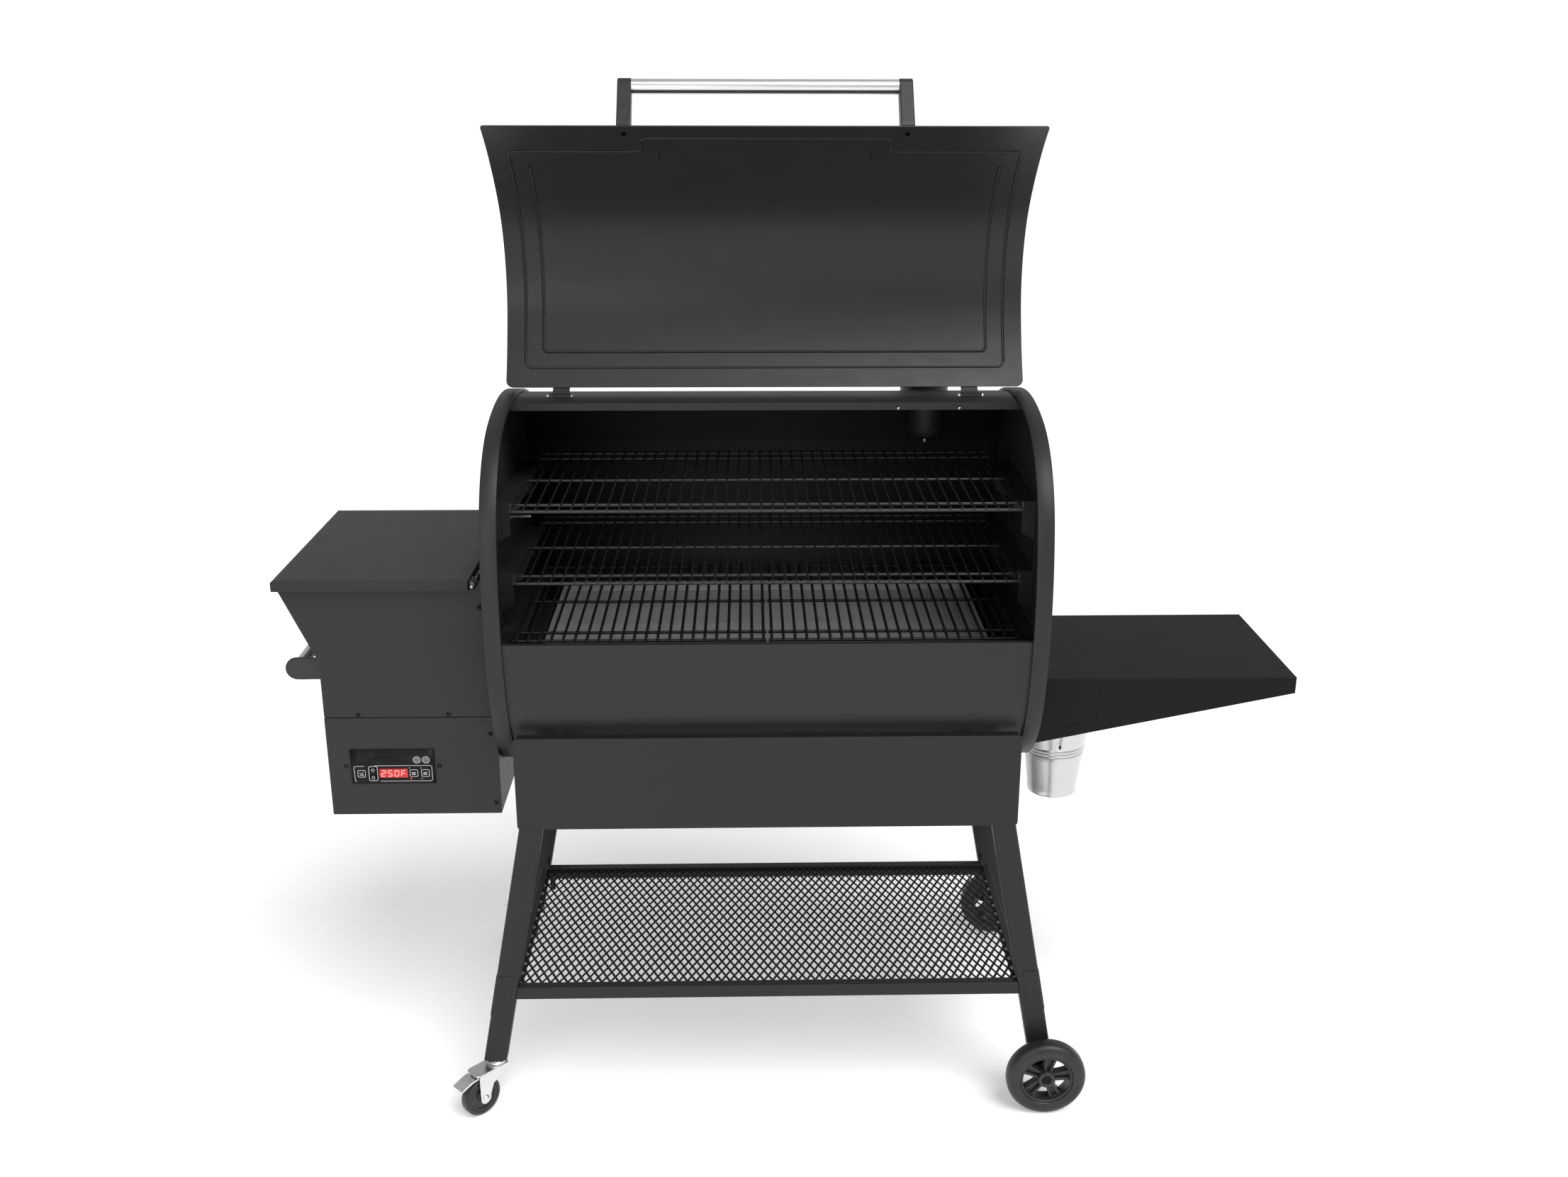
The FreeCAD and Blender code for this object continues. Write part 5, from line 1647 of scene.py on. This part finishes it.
@dataclass
class Chimney:
    """The flue behind the barrel with its screwed rain cap."""

    x: float = 344.0
    y: float = 416.0
    radius: float = 51.0
    low: float = 1200.0
    top: float = 1560.0
    inner_x: float = 329.0
    inner_y: float = 238.0
    inner_radius: float = 37.0
    inner_low: float = 1236.0

    def build(self) -> None:
        """Make the pipe, the neck and the cap."""
        pipe = Draft()
        r = self.radius
        pipe.lathe([(0.01, self.low + 0.6), (r - 5, self.low + 0.6), (r - 1.2, self.low + 1.6),
                    (r, self.low + 4.5),
                    (r, self.top - 1.2), (r - 0.8, self.top), (r - 2, self.top - 0.8), (r - 2, self.low + 6),
                    (0.01, self.low + 6)], (self.x, self.y, 0.0), Axis.Z, 72, False)
        pipe.lathe([(r - 4, 320.0), (r - 4, self.y - 20)], (self.x, 0.0, 1262.0), Axis.Y, 64, False)
        self.inner_flue()
        pipe.block((self.x - r + 2, self.y - 2, self.top - 10), (self.x + r - 2, self.y + 2, self.top - 2))
        pipe.rod((self.x, self.y, self.top - 10), (self.x, self.y, self.top + 31.6), 4.0, 20)
        pipe.piece("chimney_flue", Look.SHELL, "grill", "charcoal_paint", ("chimney_pipe",))
        cap = Draft()
        low = self.top + 2
        cap.lathe([(0.01, low + 21.9), (58.0, low + 21.9), (64.0, low + 21.0), (67.2, low + 18.0),
                   (68.0, low + 13.0),
                   (68.0, low + 0.6), (67.4, low), (66.2, low + 0.6), (66.2, low + 12.0), (64.6, low + 17.4),
                   (58.0, low + 19.9), (9.0, low + 19.9), (9.0, low + 12.4), (4.2, low + 12.4),
                   (4.2, low + 19.4), (0.01, low + 19.4)], (self.x, self.y, 0.0), Axis.Z, 72, False)
        cap.piece("chimney_rain_cap", Look.SHELL, "chimney_cap", "charcoal_paint", ("chimney_cap",))

    def inner_flue(self) -> None:
        """The rounded flue end that hangs inside the chamber under the crown, with its nut."""
        x, y, radius, low = self.inner_x, self.inner_y, self.inner_radius, self.inner_low
        wall = [(p.y, p.z) for p, _ in Section().loop(8.4, 4.0) if p.y > 60.0 and p.z > 1100.0]

        def ceiling(place: float) -> float:
            """The skin's height at a place along Y."""
            return min(wall, key=lambda point: abs(point[0] - place))[1]

        draft = Draft()
        rows = []
        for wide, height in ((0.4, 0.0), (18.0, 1.0), (28.0, 4.4), (34.4, 11.0), (radius, 21.0),
                             (radius, -1.0)):
            row = []
            for k in range(48):
                a = math.radians(7.5 * k)
                px, py = x + wide * math.sin(a), y - wide * math.cos(a)
                row.append(Vector((px, py, ceiling(y - radius * math.cos(a)) if height < 0
                                   else low + height)))
            rows.append(row)
        draft.grid(rows, False, True)
        draft.cap(rows[0])
        draft.piece("flue_inner_end", Look.SHELL, "grill", "inner_paint", (), 0.0, 50.0)
        nut = Draft()
        nut.lathe([(0.01, low - 5.0), (3.4, low - 5.0), (4.2, low - 3.6), (4.2, low + 2.0)],
                  (x - 4.0, y - 20.0, 0.0), Axis.Z, 6, False)
        screw = [(0.01, -1.8), (1.6, -1.6), (2.8, -0.6), (3.0, 0.3), (0.01, 0.3)]
        for place in (246.0, 360.0):
            nut.lathe(screw, (place, -26.4, 1351.0), Axis.Y, 16, False)
        nut.piece("flue_screws", Look.STEEL, "grill", "inner_paint")


# ------------------------------------------------------------------ cart

@dataclass
class Cart:
    """Splayed legs, the apron under the barrel, and the mesh shelf."""

    splay_x: float = 463.7
    splay_z: float = 610.0
    splay: float = 10.65
    wide: float = 44.0
    deep: float = 30.0
    front: float = -250.0
    rear: float = 330.0
    top: float = 758.0
    low_left: float = 106.0
    low_right: float = 55.0
    sleeve_high: float = 296.0
    sleeve_low: float = 208.0
    apron_half: float = 465.7
    apron_low: float = 610.6
    apron_high: float = 793.4
    saddle_x: tuple[float, ...] = (-380.0, 377.0)
    shelf_half: float = 483.0
    shelf_front: float = -265.0
    shelf_back: float = 202.0
    rail_deep: float = 20.0
    rail_top: float = 269.7
    rail_low: float = 244.7
    mesh_z: float = 262.7
    mesh_front: float = -244.6
    mesh_back: float = 201.6
    columns: int = 58
    rows: int = 26

    def outer(self, z: float) -> float:
        """The legs' outer edge at a height."""
        return self.splay_x + (self.splay_z - z) * math.tan(math.radians(self.splay))

    def build(self) -> None:
        """Make the legs, the apron, the rails and the mesh."""
        for side, low in ((Side.LEFT, self.low_left), (Side.RIGHT, self.low_right)):
            draft = Draft()
            for y in (self.front, self.rear):
                self.leg(draft, side.sign(), low, y)
            draft.piece("cart_legs_" + side.value, Look.FRAME, "grill", "charcoal_paint",
                        ("legs_" + side.value,), 0.0, 30.0)
        self.apron()
        self.rails()
        self.mesh()
        dress(("axle_bolts",), Look.SCREW, 0.5)

    def leg(self, draft: Draft, sign: float, low: float, y: float) -> None:
        """One leg: an upper channel that overlaps a lower sleeve.

        Args:
            draft: Where to add it.
            sign: Which way it leans out along X.
            low: The height of its foot.
            y: Its middle in Y.
        """
        wide = self.wide / math.cos(math.radians(self.splay))

        def ring(z: float, inset: float) -> list[Vector]:
            """The leg's outline at a height, less an inset."""
            right = self.outer(z) - inset
            left = self.outer(z) - wide + inset
            outline = rounded(left, y - self.deep / 2 + inset, right, y + self.deep / 2 - inset, 4.5 - inset,
                              4)
            return [Vector((sign * a, b, z)) for a, b in outline]

        rings = [ring(self.top, 2.2), ring(self.top, 0.4), ring(self.top - 0.6, 0.0), ring(low + 0.6, 0.0),
                 ring(low, 0.4), ring(low, 2.2)]
        draft.stack(rings)
        face = y - self.deep / 2 if y < 0 else y + self.deep / 2
        step = -0.9 if y < 0 else 0.9

        def across(z: float, share: float) -> float:
            """A place over the leg's width at a height, as a share from its outer edge."""
            return sign * (self.outer(z) - wide * share)

        high, foot, turn = self.sleeve_high, self.sleeve_low, 6.0
        patch = [(across(high, 0.10), high), (across(high, 0.72) + sign * turn, high)]
        patch += [(across(high - turn, 0.72) + sign * turn * (1 - math.sin(a)),
                   high - turn * (1 - math.cos(a)))
                  for a in (math.radians(b) for b in range(15, 91, 15))]
        patch += [(across(foot, 0.72), foot), (across(foot, 0.10), foot)]
        draft.prism(patch, Axis.Y, face, face + step)
        shell = [(across(high, 0.0), high), (across(high, -0.02), high), (across(foot, -0.02), foot),
                 (across(foot, 0.0), foot)]
        draft.prism(shell, Axis.Y, y - self.deep / 2 + 3.0, y + self.deep / 2 - 3.0)

    def apron(self) -> None:
        """Front and rear panels with folded tops, and saddles cut to the belly."""
        draft = Draft()
        half, low, high = self.apron_half, self.apron_low, self.apron_high
        for y0, y1 in ((-267.3, -265.3), (345.3, 347.3)):
            draft.prism(rounded(-half, low, half, high, 7.0), Axis.Y, y0, y1)
        draft.block((-half + 6, -266.3, high - 1.9), (half - 6, -247.3, high - 0.1))
        draft.block((-half + 6, 307.3, high - 1.9), (half - 6, 346.3, high - 0.1))
        belly = [p for p, _ in Section().loop(-0.4, 6.0) if p.z < 778.0 and -266.0 < p.y < 345.0]
        belly.sort(key=lambda p: p.y)
        for x in self.saddle_x:
            outline = [(-265.6, 661.0), (-265.6, min(779.0, belly[0].z))] + [(p.y, p.z) for p in belly]
            outline += [(345.4, min(779.0, belly[-1].z)), (345.4, 661.0)]
            draft.prism(outline, Axis.X, x, x + 3.0)
        draft.piece("cart_apron", Look.FRAME, "grill", "charcoal_paint", ("skirt_frame",), 0.7)

    def rails(self) -> None:
        """The shelf's front, back and side rails, and the straps that reach the rear legs."""
        top, low = self.rail_top, self.rail_low
        high, foot = (self.outer(z) - self.wide / math.cos(math.radians(self.splay)) + 0.3
                      for z in (top, low))
        draft = Draft()
        for y in (self.shelf_front, self.shelf_back):
            outline = [(-high, top), (-foot, low), (foot, low), (high, top)]
            draft.prism(outline, Axis.Y, y, y + self.rail_deep)
        for sign in (-1.0, 1.0):
            near, far = sorted((sign * (self.shelf_half + 0.5), sign * (self.shelf_half + 14.0)))
            draft.block((near, -234.0, low), (far, self.shelf_back + 1.0, top))
            strap = [(476.0, 221.0), (481.0, 221.0), (500.0, 319.0), (495.0, 319.0)]
            draft.prism([(sign * x, y) for x, y in strap], Axis.Z, low - 34.0, low - 10.0)
            near, far = sorted((sign * 470.0, sign * 481.0))
            draft.block((near, 212.0, low - 33.0), (far, 222.0, low))
        draft.piece("shelf_rails", Look.FRAME, "grill", "charcoal_paint", ("shelf_frame",), 1.0)

    def mesh(self) -> None:
        """The expanded metal sheet: zigzag strands that meet in diamonds."""
        front, back = self.mesh_front, self.mesh_back
        step_x, step_y = 2 * self.shelf_half / self.columns, (back - front) / self.rows
        draft = Draft()
        for row in range(self.rows + 1):
            path = []
            for k in range(2 * self.columns + 1):
                swing, rise = (step_y / 2 - 0.6, 0.5) if (k + row) % 2 else (0.6 - step_y / 2, -0.2)
                y = min(back - 0.5, max(front + 0.5, front + step_y * row + swing))
                path.append(Vector((-self.shelf_half + step_x * k / 2, y, self.mesh_z + rise)))
            draft.pipe(path, 5.7, 4, False, 0.32, Vector((0, 0, 1)))
        draft.piece("shelf_expanded_sheet", Look.GRATE, "grill", "charcoal_paint", ("shelf_mesh",), 0.0, 20.0)


@dataclass
class Wheel:
    """A five-spoke moulded wheel with a smooth tyre, turning about Y."""

    side: Side
    near: float
    x: float = 543.0
    radius: float = 77.8
    wide: float = 37.0

    def build(self) -> None:
        """Make the tyre and the moulded centre."""
        mid = self.near + self.wide / 2
        label = self.side.value
        body = "wheel_" + label
        tyre = Draft()
        half = self.wide / 2
        side = [(51.6, half - 3.4), (52.6, half - 1.6), (54.4, half - 0.6), (57.0, half - 0.15), (60.0, half),
                (60.7, half - 0.45), (61.4, half), (65.0, half - 0.1), (65.7, half - 0.6), (66.4, half - 0.2),
                (69.6, half - 0.9), (72.4, half - 2.3), (74.8, half - 4.6), (76.6, half - 7.8),
                (77.5, half - 11.6), (77.8, half - 16.0)]
        tyre.lathe(mirrored(side), (self.x, mid, self.radius), Axis.Y, 120)
        tyre.piece("tyre_" + label, Look.TYRE, body, "tyre", (body,))
        centre = Draft()
        ring = [(52.2, half - 5), (51.6, half - 3.4), (49.4, half - 3.0), (47.2, half - 3.4),
                (46.4, half - 5), (46.0, half - 12)]
        centre.lathe(mirrored(ring), (self.x, mid, self.radius), Axis.Y, 120)
        hub = [(5.2, half - 10), (9.4, half - 10), (9.8, half - 3.0), (10.6, half - 2.0), (15.4, half - 2.0),
               (16.8, half - 3.2), (17.2, half - 6)]
        centre.lathe(mirrored(hub), (self.x, mid, self.radius), Axis.Y, 64)
        z = self.radius
        for k in range(5):
            turn = about(Vector((self.x, mid, z)), math.radians(72 * k + 10), Axis.Y)
            centre.turned(turn, lambda: self.spoke(centre, mid, z))
        for k in range(20):
            t = math.radians(18 * k + 9)
            for sign in (-1.0, 1.0):
                spot = (self.x + 49.3 * math.cos(t), mid + sign * (half - 3.4),
                        self.radius + 49.3 * math.sin(t))
                centre.lathe([(0.01, sign * 1.0), (1.2, sign * 0.8), (1.6, 0.0)], spot, Axis.Y, 10, False)
        centre.piece("wheel_centre_" + label, Look.RIM, body, "black_plastic", (), 0.8)

    def spoke(self, draft: Draft, mid: float, z: float) -> None:
        """One twin-bar spoke that spreads to the rim, with a recessed web and a foot on the rim.

        Args:
            draft: Where to add it.
            mid: The wheel's middle in Y.
            z: The axle's height.
        """
        for sign in (-1.0, 1.0):
            bar = [(2.4, 13.0), (8.0, 13.0), (9.4, 30.0), (13.0, 49.6), (6.6, 49.6), (4.4, 30.0)]
            draft.prism([(self.x + sign * a, z + b) for a, b in bar], Axis.Y, mid - 9.0, mid + 9.0)
        draft.prism([(self.x - 5.4, z + 13.0), (self.x + 5.4, z + 13.0), (self.x + 8.0, z + 49.0),
                     (self.x - 8.0, z + 49.0)], Axis.Y, mid - 3.0, mid + 3.0)
        draft.prism([(self.x - 8.0, z + 44.0), (self.x + 8.0, z + 44.0), (self.x + 9.4, z + 49.4),
                     (self.x - 9.4, z + 49.4)], Axis.Y, mid - 8.4, mid + 8.4)


@dataclass
class Caster:
    """A plated swivel fork with its brake pedal and a moulded wheel."""

    side: Side
    y: float
    swing: float
    foot_x: float
    radius: float = 40.0
    trail: float = 42.0

    def build(self) -> None:
        """Make the fork, the wheel and the pedal."""
        turn = Matrix.Rotation(math.radians(self.swing), 4, "Z")
        place = Matrix.Translation(Vector((self.foot_x, self.y, 0.0))) @ turn
        self.fork(place)
        self.wheel(place)
        self.pedal(place)

    def fork(self, place: Matrix) -> None:
        """The pressed fork: a crown, two cheeks and an axle with domed caps.

        Args:
            place: Where the caster stands and how it is swung.
        """
        t, r = self.trail, self.radius
        draft = Draft()
        draft.lathe([(0.01, 96.0), (16.0, 96.0), (18.4, 97.2), (19.0, 99.5), (18.4, 102.0), (15.0, 104.6),
                     (9.0, 105.2), (8.0, 106.0), (8.0, 136.0), (0.01, 136.0)], (0.0, 0.0, 0.0), Axis.Z, 48,
                     False)
        top = [(-17.0, -13.0), (-14.0, -18.0), (-6.0, -18.8), (t + 10, -18.8), (t + 17, -16.0),
               (t + 18, -10.0),
               (t + 18, 10.0), (t + 17, 16.0), (t + 10, 18.8), (-6.0, 18.8), (-14.0, 18.0), (-17.0, 13.0)]
        draft.prism(top, Axis.Z, 93.0, 96.0)
        for sign in (-1.0, 1.0):
            cheek = [(-15.0, 94.5), (t + 8, 94.5), (t + 11, 90.0), (t + 12, 78.0), (t + 11.6, r + 4)]
            cheek += arc(t, r, 11.5, 0, -180, -20)
            cheek += [(t - 12.0, r + 6), (t - 20.0, 66.0), (-11.0, 82.0), (-15.6, 88.0)]
            near = sign * 16.4
            draft.prism(cheek, Axis.Y, near, near + sign * 2.4)
            draft.lathe([(0.01, sign * 24.4), (3.6, sign * 24.0), (6.0, sign * 22.2), (7.2, sign * 19.4),
                         (7.2, sign * 18.6)], (t, 0.0, r), Axis.Y, 32, False)
        label = self.side.value
        draft.piece("fork_" + label, Look.ZINC, "caster_" + label, "zinc", ("caster_fork_" + label,), 0.6,
                    35.0, place)

    def wheel(self, place: Matrix) -> None:
        """The moulded wheel with a ring groove on each face.

        Args:
            place: Where the caster stands and how it is swung.
        """
        draft = Draft()
        side = [(4.4, 12.0), (11.0, 12.0), (12.2, 11.0), (13.0, 9.4), (22.0, 9.0), (24.0, 9.4), (25.0, 11.4),
                (27.0, 12.0), (29.0, 12.0), (29.6, 11.0), (31.0, 11.0), (31.6, 12.0), (34.0, 12.0),
                (37.6, 10.8), (39.4, 8.6), (40.0, 5.5)]
        draft.lathe(mirrored(side), (self.trail, 0.0, self.radius), Axis.Y, 80)
        body = "caster_wheel_" + self.side.value
        draft.piece("caster_roll_" + self.side.value, Look.TYRE, body, "black_plastic", (body,), 0.0, 35.0,
                    place)

    def pedal(self, place: Matrix) -> None:
        """The brake pedal: a curved pressed pad on its pin.

        Args:
            place: Where the caster stands and how it is swung.
        """
        t = self.trail
        pad = [(t - 3.0, 84.0), (t + 4.0, 84.2), (t + 12.0, 87.0), (t + 26.0, 85.4), (t + 40.0, 80.8),
               (t + 51.6, 76.6),
               (t + 52.2, 79.0), (t + 41.0, 83.6), (t + 27.0, 88.4), (t + 13.0, 90.6), (t + 4.0, 88.6),
               (t - 3.0, 87.6)]
        draft = Draft()
        draft.prism(pad, Axis.Y, -15.4, 15.4)
        for k in range(4):
            x = t + 22 + 7.5 * k
            z = 89.3 - 2.95 * k - (0.2 if k else 0.0)
            draft.rod((x, -12.0, z), (x, 12.0, z), 0.9, 8)
        draft.rod((t, -16.2, 86.0), (t, 16.2, 86.0), 2.0, 16)
        body = "caster_pedal_" + self.side.value
        draft.piece("pedal_" + self.side.value, Look.ZINC, body, "zinc", (body,), 0.8, 35.0, place)


@dataclass
class Fasteners:
    """Pan-head screws on the hopper's front and the chosen seams."""

    face: float = -211.0
    places: tuple[Point, ...] = ((-755.0, 820.0), (-589.0, 820.0), (-521.0, 1028.0), (-515.0, 780.0),
                                 (-512.0, 639.0), (-786.0, 716.0), (-613.0, 716.0), (-509.0, 826.0))

    def build(self) -> None:
        """Make domed heads, with raised dark bars as painted shade where the cross recesses lie."""
        heads, recess_shade = Draft(), Draft()
        for x, z in self.places:
            dome = [(0.01, -2.3), (1.8, -2.1), (3.6, -1.2), (4.3, -0.2), (4.3, 0.1), (0.01, 0.1)]
            heads.lathe(dome, (x, self.face, z), Axis.Y, 24, False)
            # Dark bars in the soot finish are painted shade in place of the cross recesses.
            for wide, tall in ((1.9, 0.35), (0.35, 1.9)):
                recess_shade.block((x - wide, self.face - 2.34, z - tall), (x + wide, self.face - 2.2, z + tall))
        heads.piece("body_screw_heads", Look.SCREW, "grill", "charcoal_paint", ("body_screws",))
        recess_shade.piece("body_screw_drives", Look.INNER, "grill", "charcoal_paint")


# ------------------------------------------------------------------ studio

@dataclass
class Studio:
    """The floor, the lights and the camera."""

    place: tuple[float, float, float] = (-0.0856, -2.8957, 1.9348)
    lens: float = 35.0
    yaw: float = -1.3577
    pitch: float = 71.476
    roll: float = 0.121
    ambient: float = 0.5

    def build(self) -> None:
        """Make the whole studio."""
        self.camera()
        self.floor()
        self.world()
        self.sun("key", (-0.42, 0.62, -1.0), 2.4, 38.0)
        self.lamp("front", (-1.6, -4.2, 2.4), (0.0, 0.0, 0.9), 2.4, 40.0)
        bpy.context.scene.view_settings.view_transform = "Standard"

    def camera(self) -> None:
        """Place the camera."""
        data = bpy.data.cameras.new("studio_camera")
        data.lens, data.sensor_width = self.lens, 36.0
        data.clip_end = 60.0
        obj = added("studio_camera", data)
        yaw, pitch, roll = (Matrix.Rotation(math.radians(angle), 4, axis) for angle, axis in
                            ((self.yaw, "Z"), (self.pitch, "X"), (self.roll, "Z")))
        obj.matrix_world = Matrix.Translation(Vector(self.place)) @ (yaw @ pitch @ roll)
        bpy.context.scene.camera = obj

    def floor(self) -> None:
        """A plain pale floor."""
        bm = bmesh.new()
        bmesh.ops.create_grid(bm, x_segments=1, y_segments=1, size=30.0)
        mesh = bpy.data.meshes.new("studio_floor")
        bm.to_mesh(mesh)
        bm.free()
        obj = added("studio_floor", mesh)
        obj.location.z = -0.0005
        g = Graph("pale_floor")
        g.put(Base_Color=(0.93, 0.93, 0.93, 1.0), Roughness=0.9, Specular_IOR_Level=0.1,
              Emission_Strength=0.22, Emission_Color=(1.0, 1.0, 1.0, 1.0))
        mesh.materials.append(g.material)

    def world(self) -> None:
        """A soft grey surround that shows as plain white behind the object."""
        world = bpy.data.worlds.new("studio_world")
        world.use_nodes = True
        tree = world.node_tree
        path, mix = tree.nodes.new("ShaderNodeLightPath"), tree.nodes.new("ShaderNodeMix")
        mix.inputs["A"].default_value, mix.inputs["B"].default_value = self.ambient, 1.0
        tree.links.new(path.outputs["Is Camera Ray"], mix.inputs["Factor"])
        tree.links.new(mix.outputs["Result"], tree.nodes["Background"].inputs["Strength"])
        tree.nodes["Background"].inputs["Color"].default_value = (1.0, 1.0, 1.0, 1.0)
        bpy.context.scene.world = world

    def sun(self, name: str, aim: tuple[float, float, float], power: float, spread: float) -> None:
        """A broad soft light from far away.

        Args:
            name: Its name.
            aim: The way it shines.
            power: Its strength.
            spread: Its apparent width in degrees.
        """
        data = bpy.data.lights.new("studio_" + name, "SUN")
        data.energy, data.angle = power, math.radians(spread)
        added("studio_" + name, data).rotation_euler = Vector(aim).to_track_quat("-Z", "Y").to_euler()

    def lamp(self, name: str, place: tuple[float, float, float], aim: tuple[float, float, float], size: float,
             power: float) -> None:
        """A large soft lamp pointed at a place.

        Args:
            name: Its name.
            place: Where it stands.
            aim: The place it points at.
            size: Its width in metres.
            power: Its power in watts.
        """
        data = bpy.data.lights.new("studio_" + name, "AREA")
        data.shape, data.size, data.energy = "DISK", size, power
        obj = added("studio_" + name, data)
        obj.location = place
        obj.rotation_euler = (Vector(aim) - Vector(place)).to_track_quat("-Z", "Y").to_euler()


def main() -> None:
    """Build every sub-assembly in order."""
    logging.basicConfig(level=logging.INFO, format="%(message)s")
    cart = Cart()
    foot_x = -(cart.outer(cart.low_left) - cart.wide / 2 - 0.4)
    parts = [
        Studio(), Barrel(), Lid(),
        WireRack("rack_top", -462.0, 462.0, 1201.0, 44),
        WireRack("rack_middle", -462.0, 462.0, 1066.0, 44),
        WireRack("grate_left", -466.0, -1.5, 955.0, 22, rod=2.8, look=Look.GRATE, slot="grate_iron",
                 posts=False),
        WireRack("grate_right", 1.5, 466.0, 955.0, 22, rod=2.8, look=Look.GRATE, slot="grate_iron",
                 posts=False),
        DripTray(), Hopper(), ControlPanel(), SideTable(), Pail(), Chimney(), cart,
        Wheel(Side.FRONT, -313.0), Wheel(Side.REAR, 356.0),
        Caster(Side.FRONT, cart.front, 225.0, foot_x), Caster(Side.REAR, cart.rear, 140.0, foot_x),
        Fasteners(),
    ]
    for part in parts:
        part.build()
        LOG.info("built %s", type(part).__name__)
    dress(("fire_pot", "heat_baffle", "auger_tube", "fan_housing"), Look.INNER)
    dress(("igniter_rod", "temp_probe", "auger_screw", "auger_motor"), Look.STEEL)
    dress(("fan_rotor",), Look.PLASTIC)


if __name__ == "__main__":
    main()
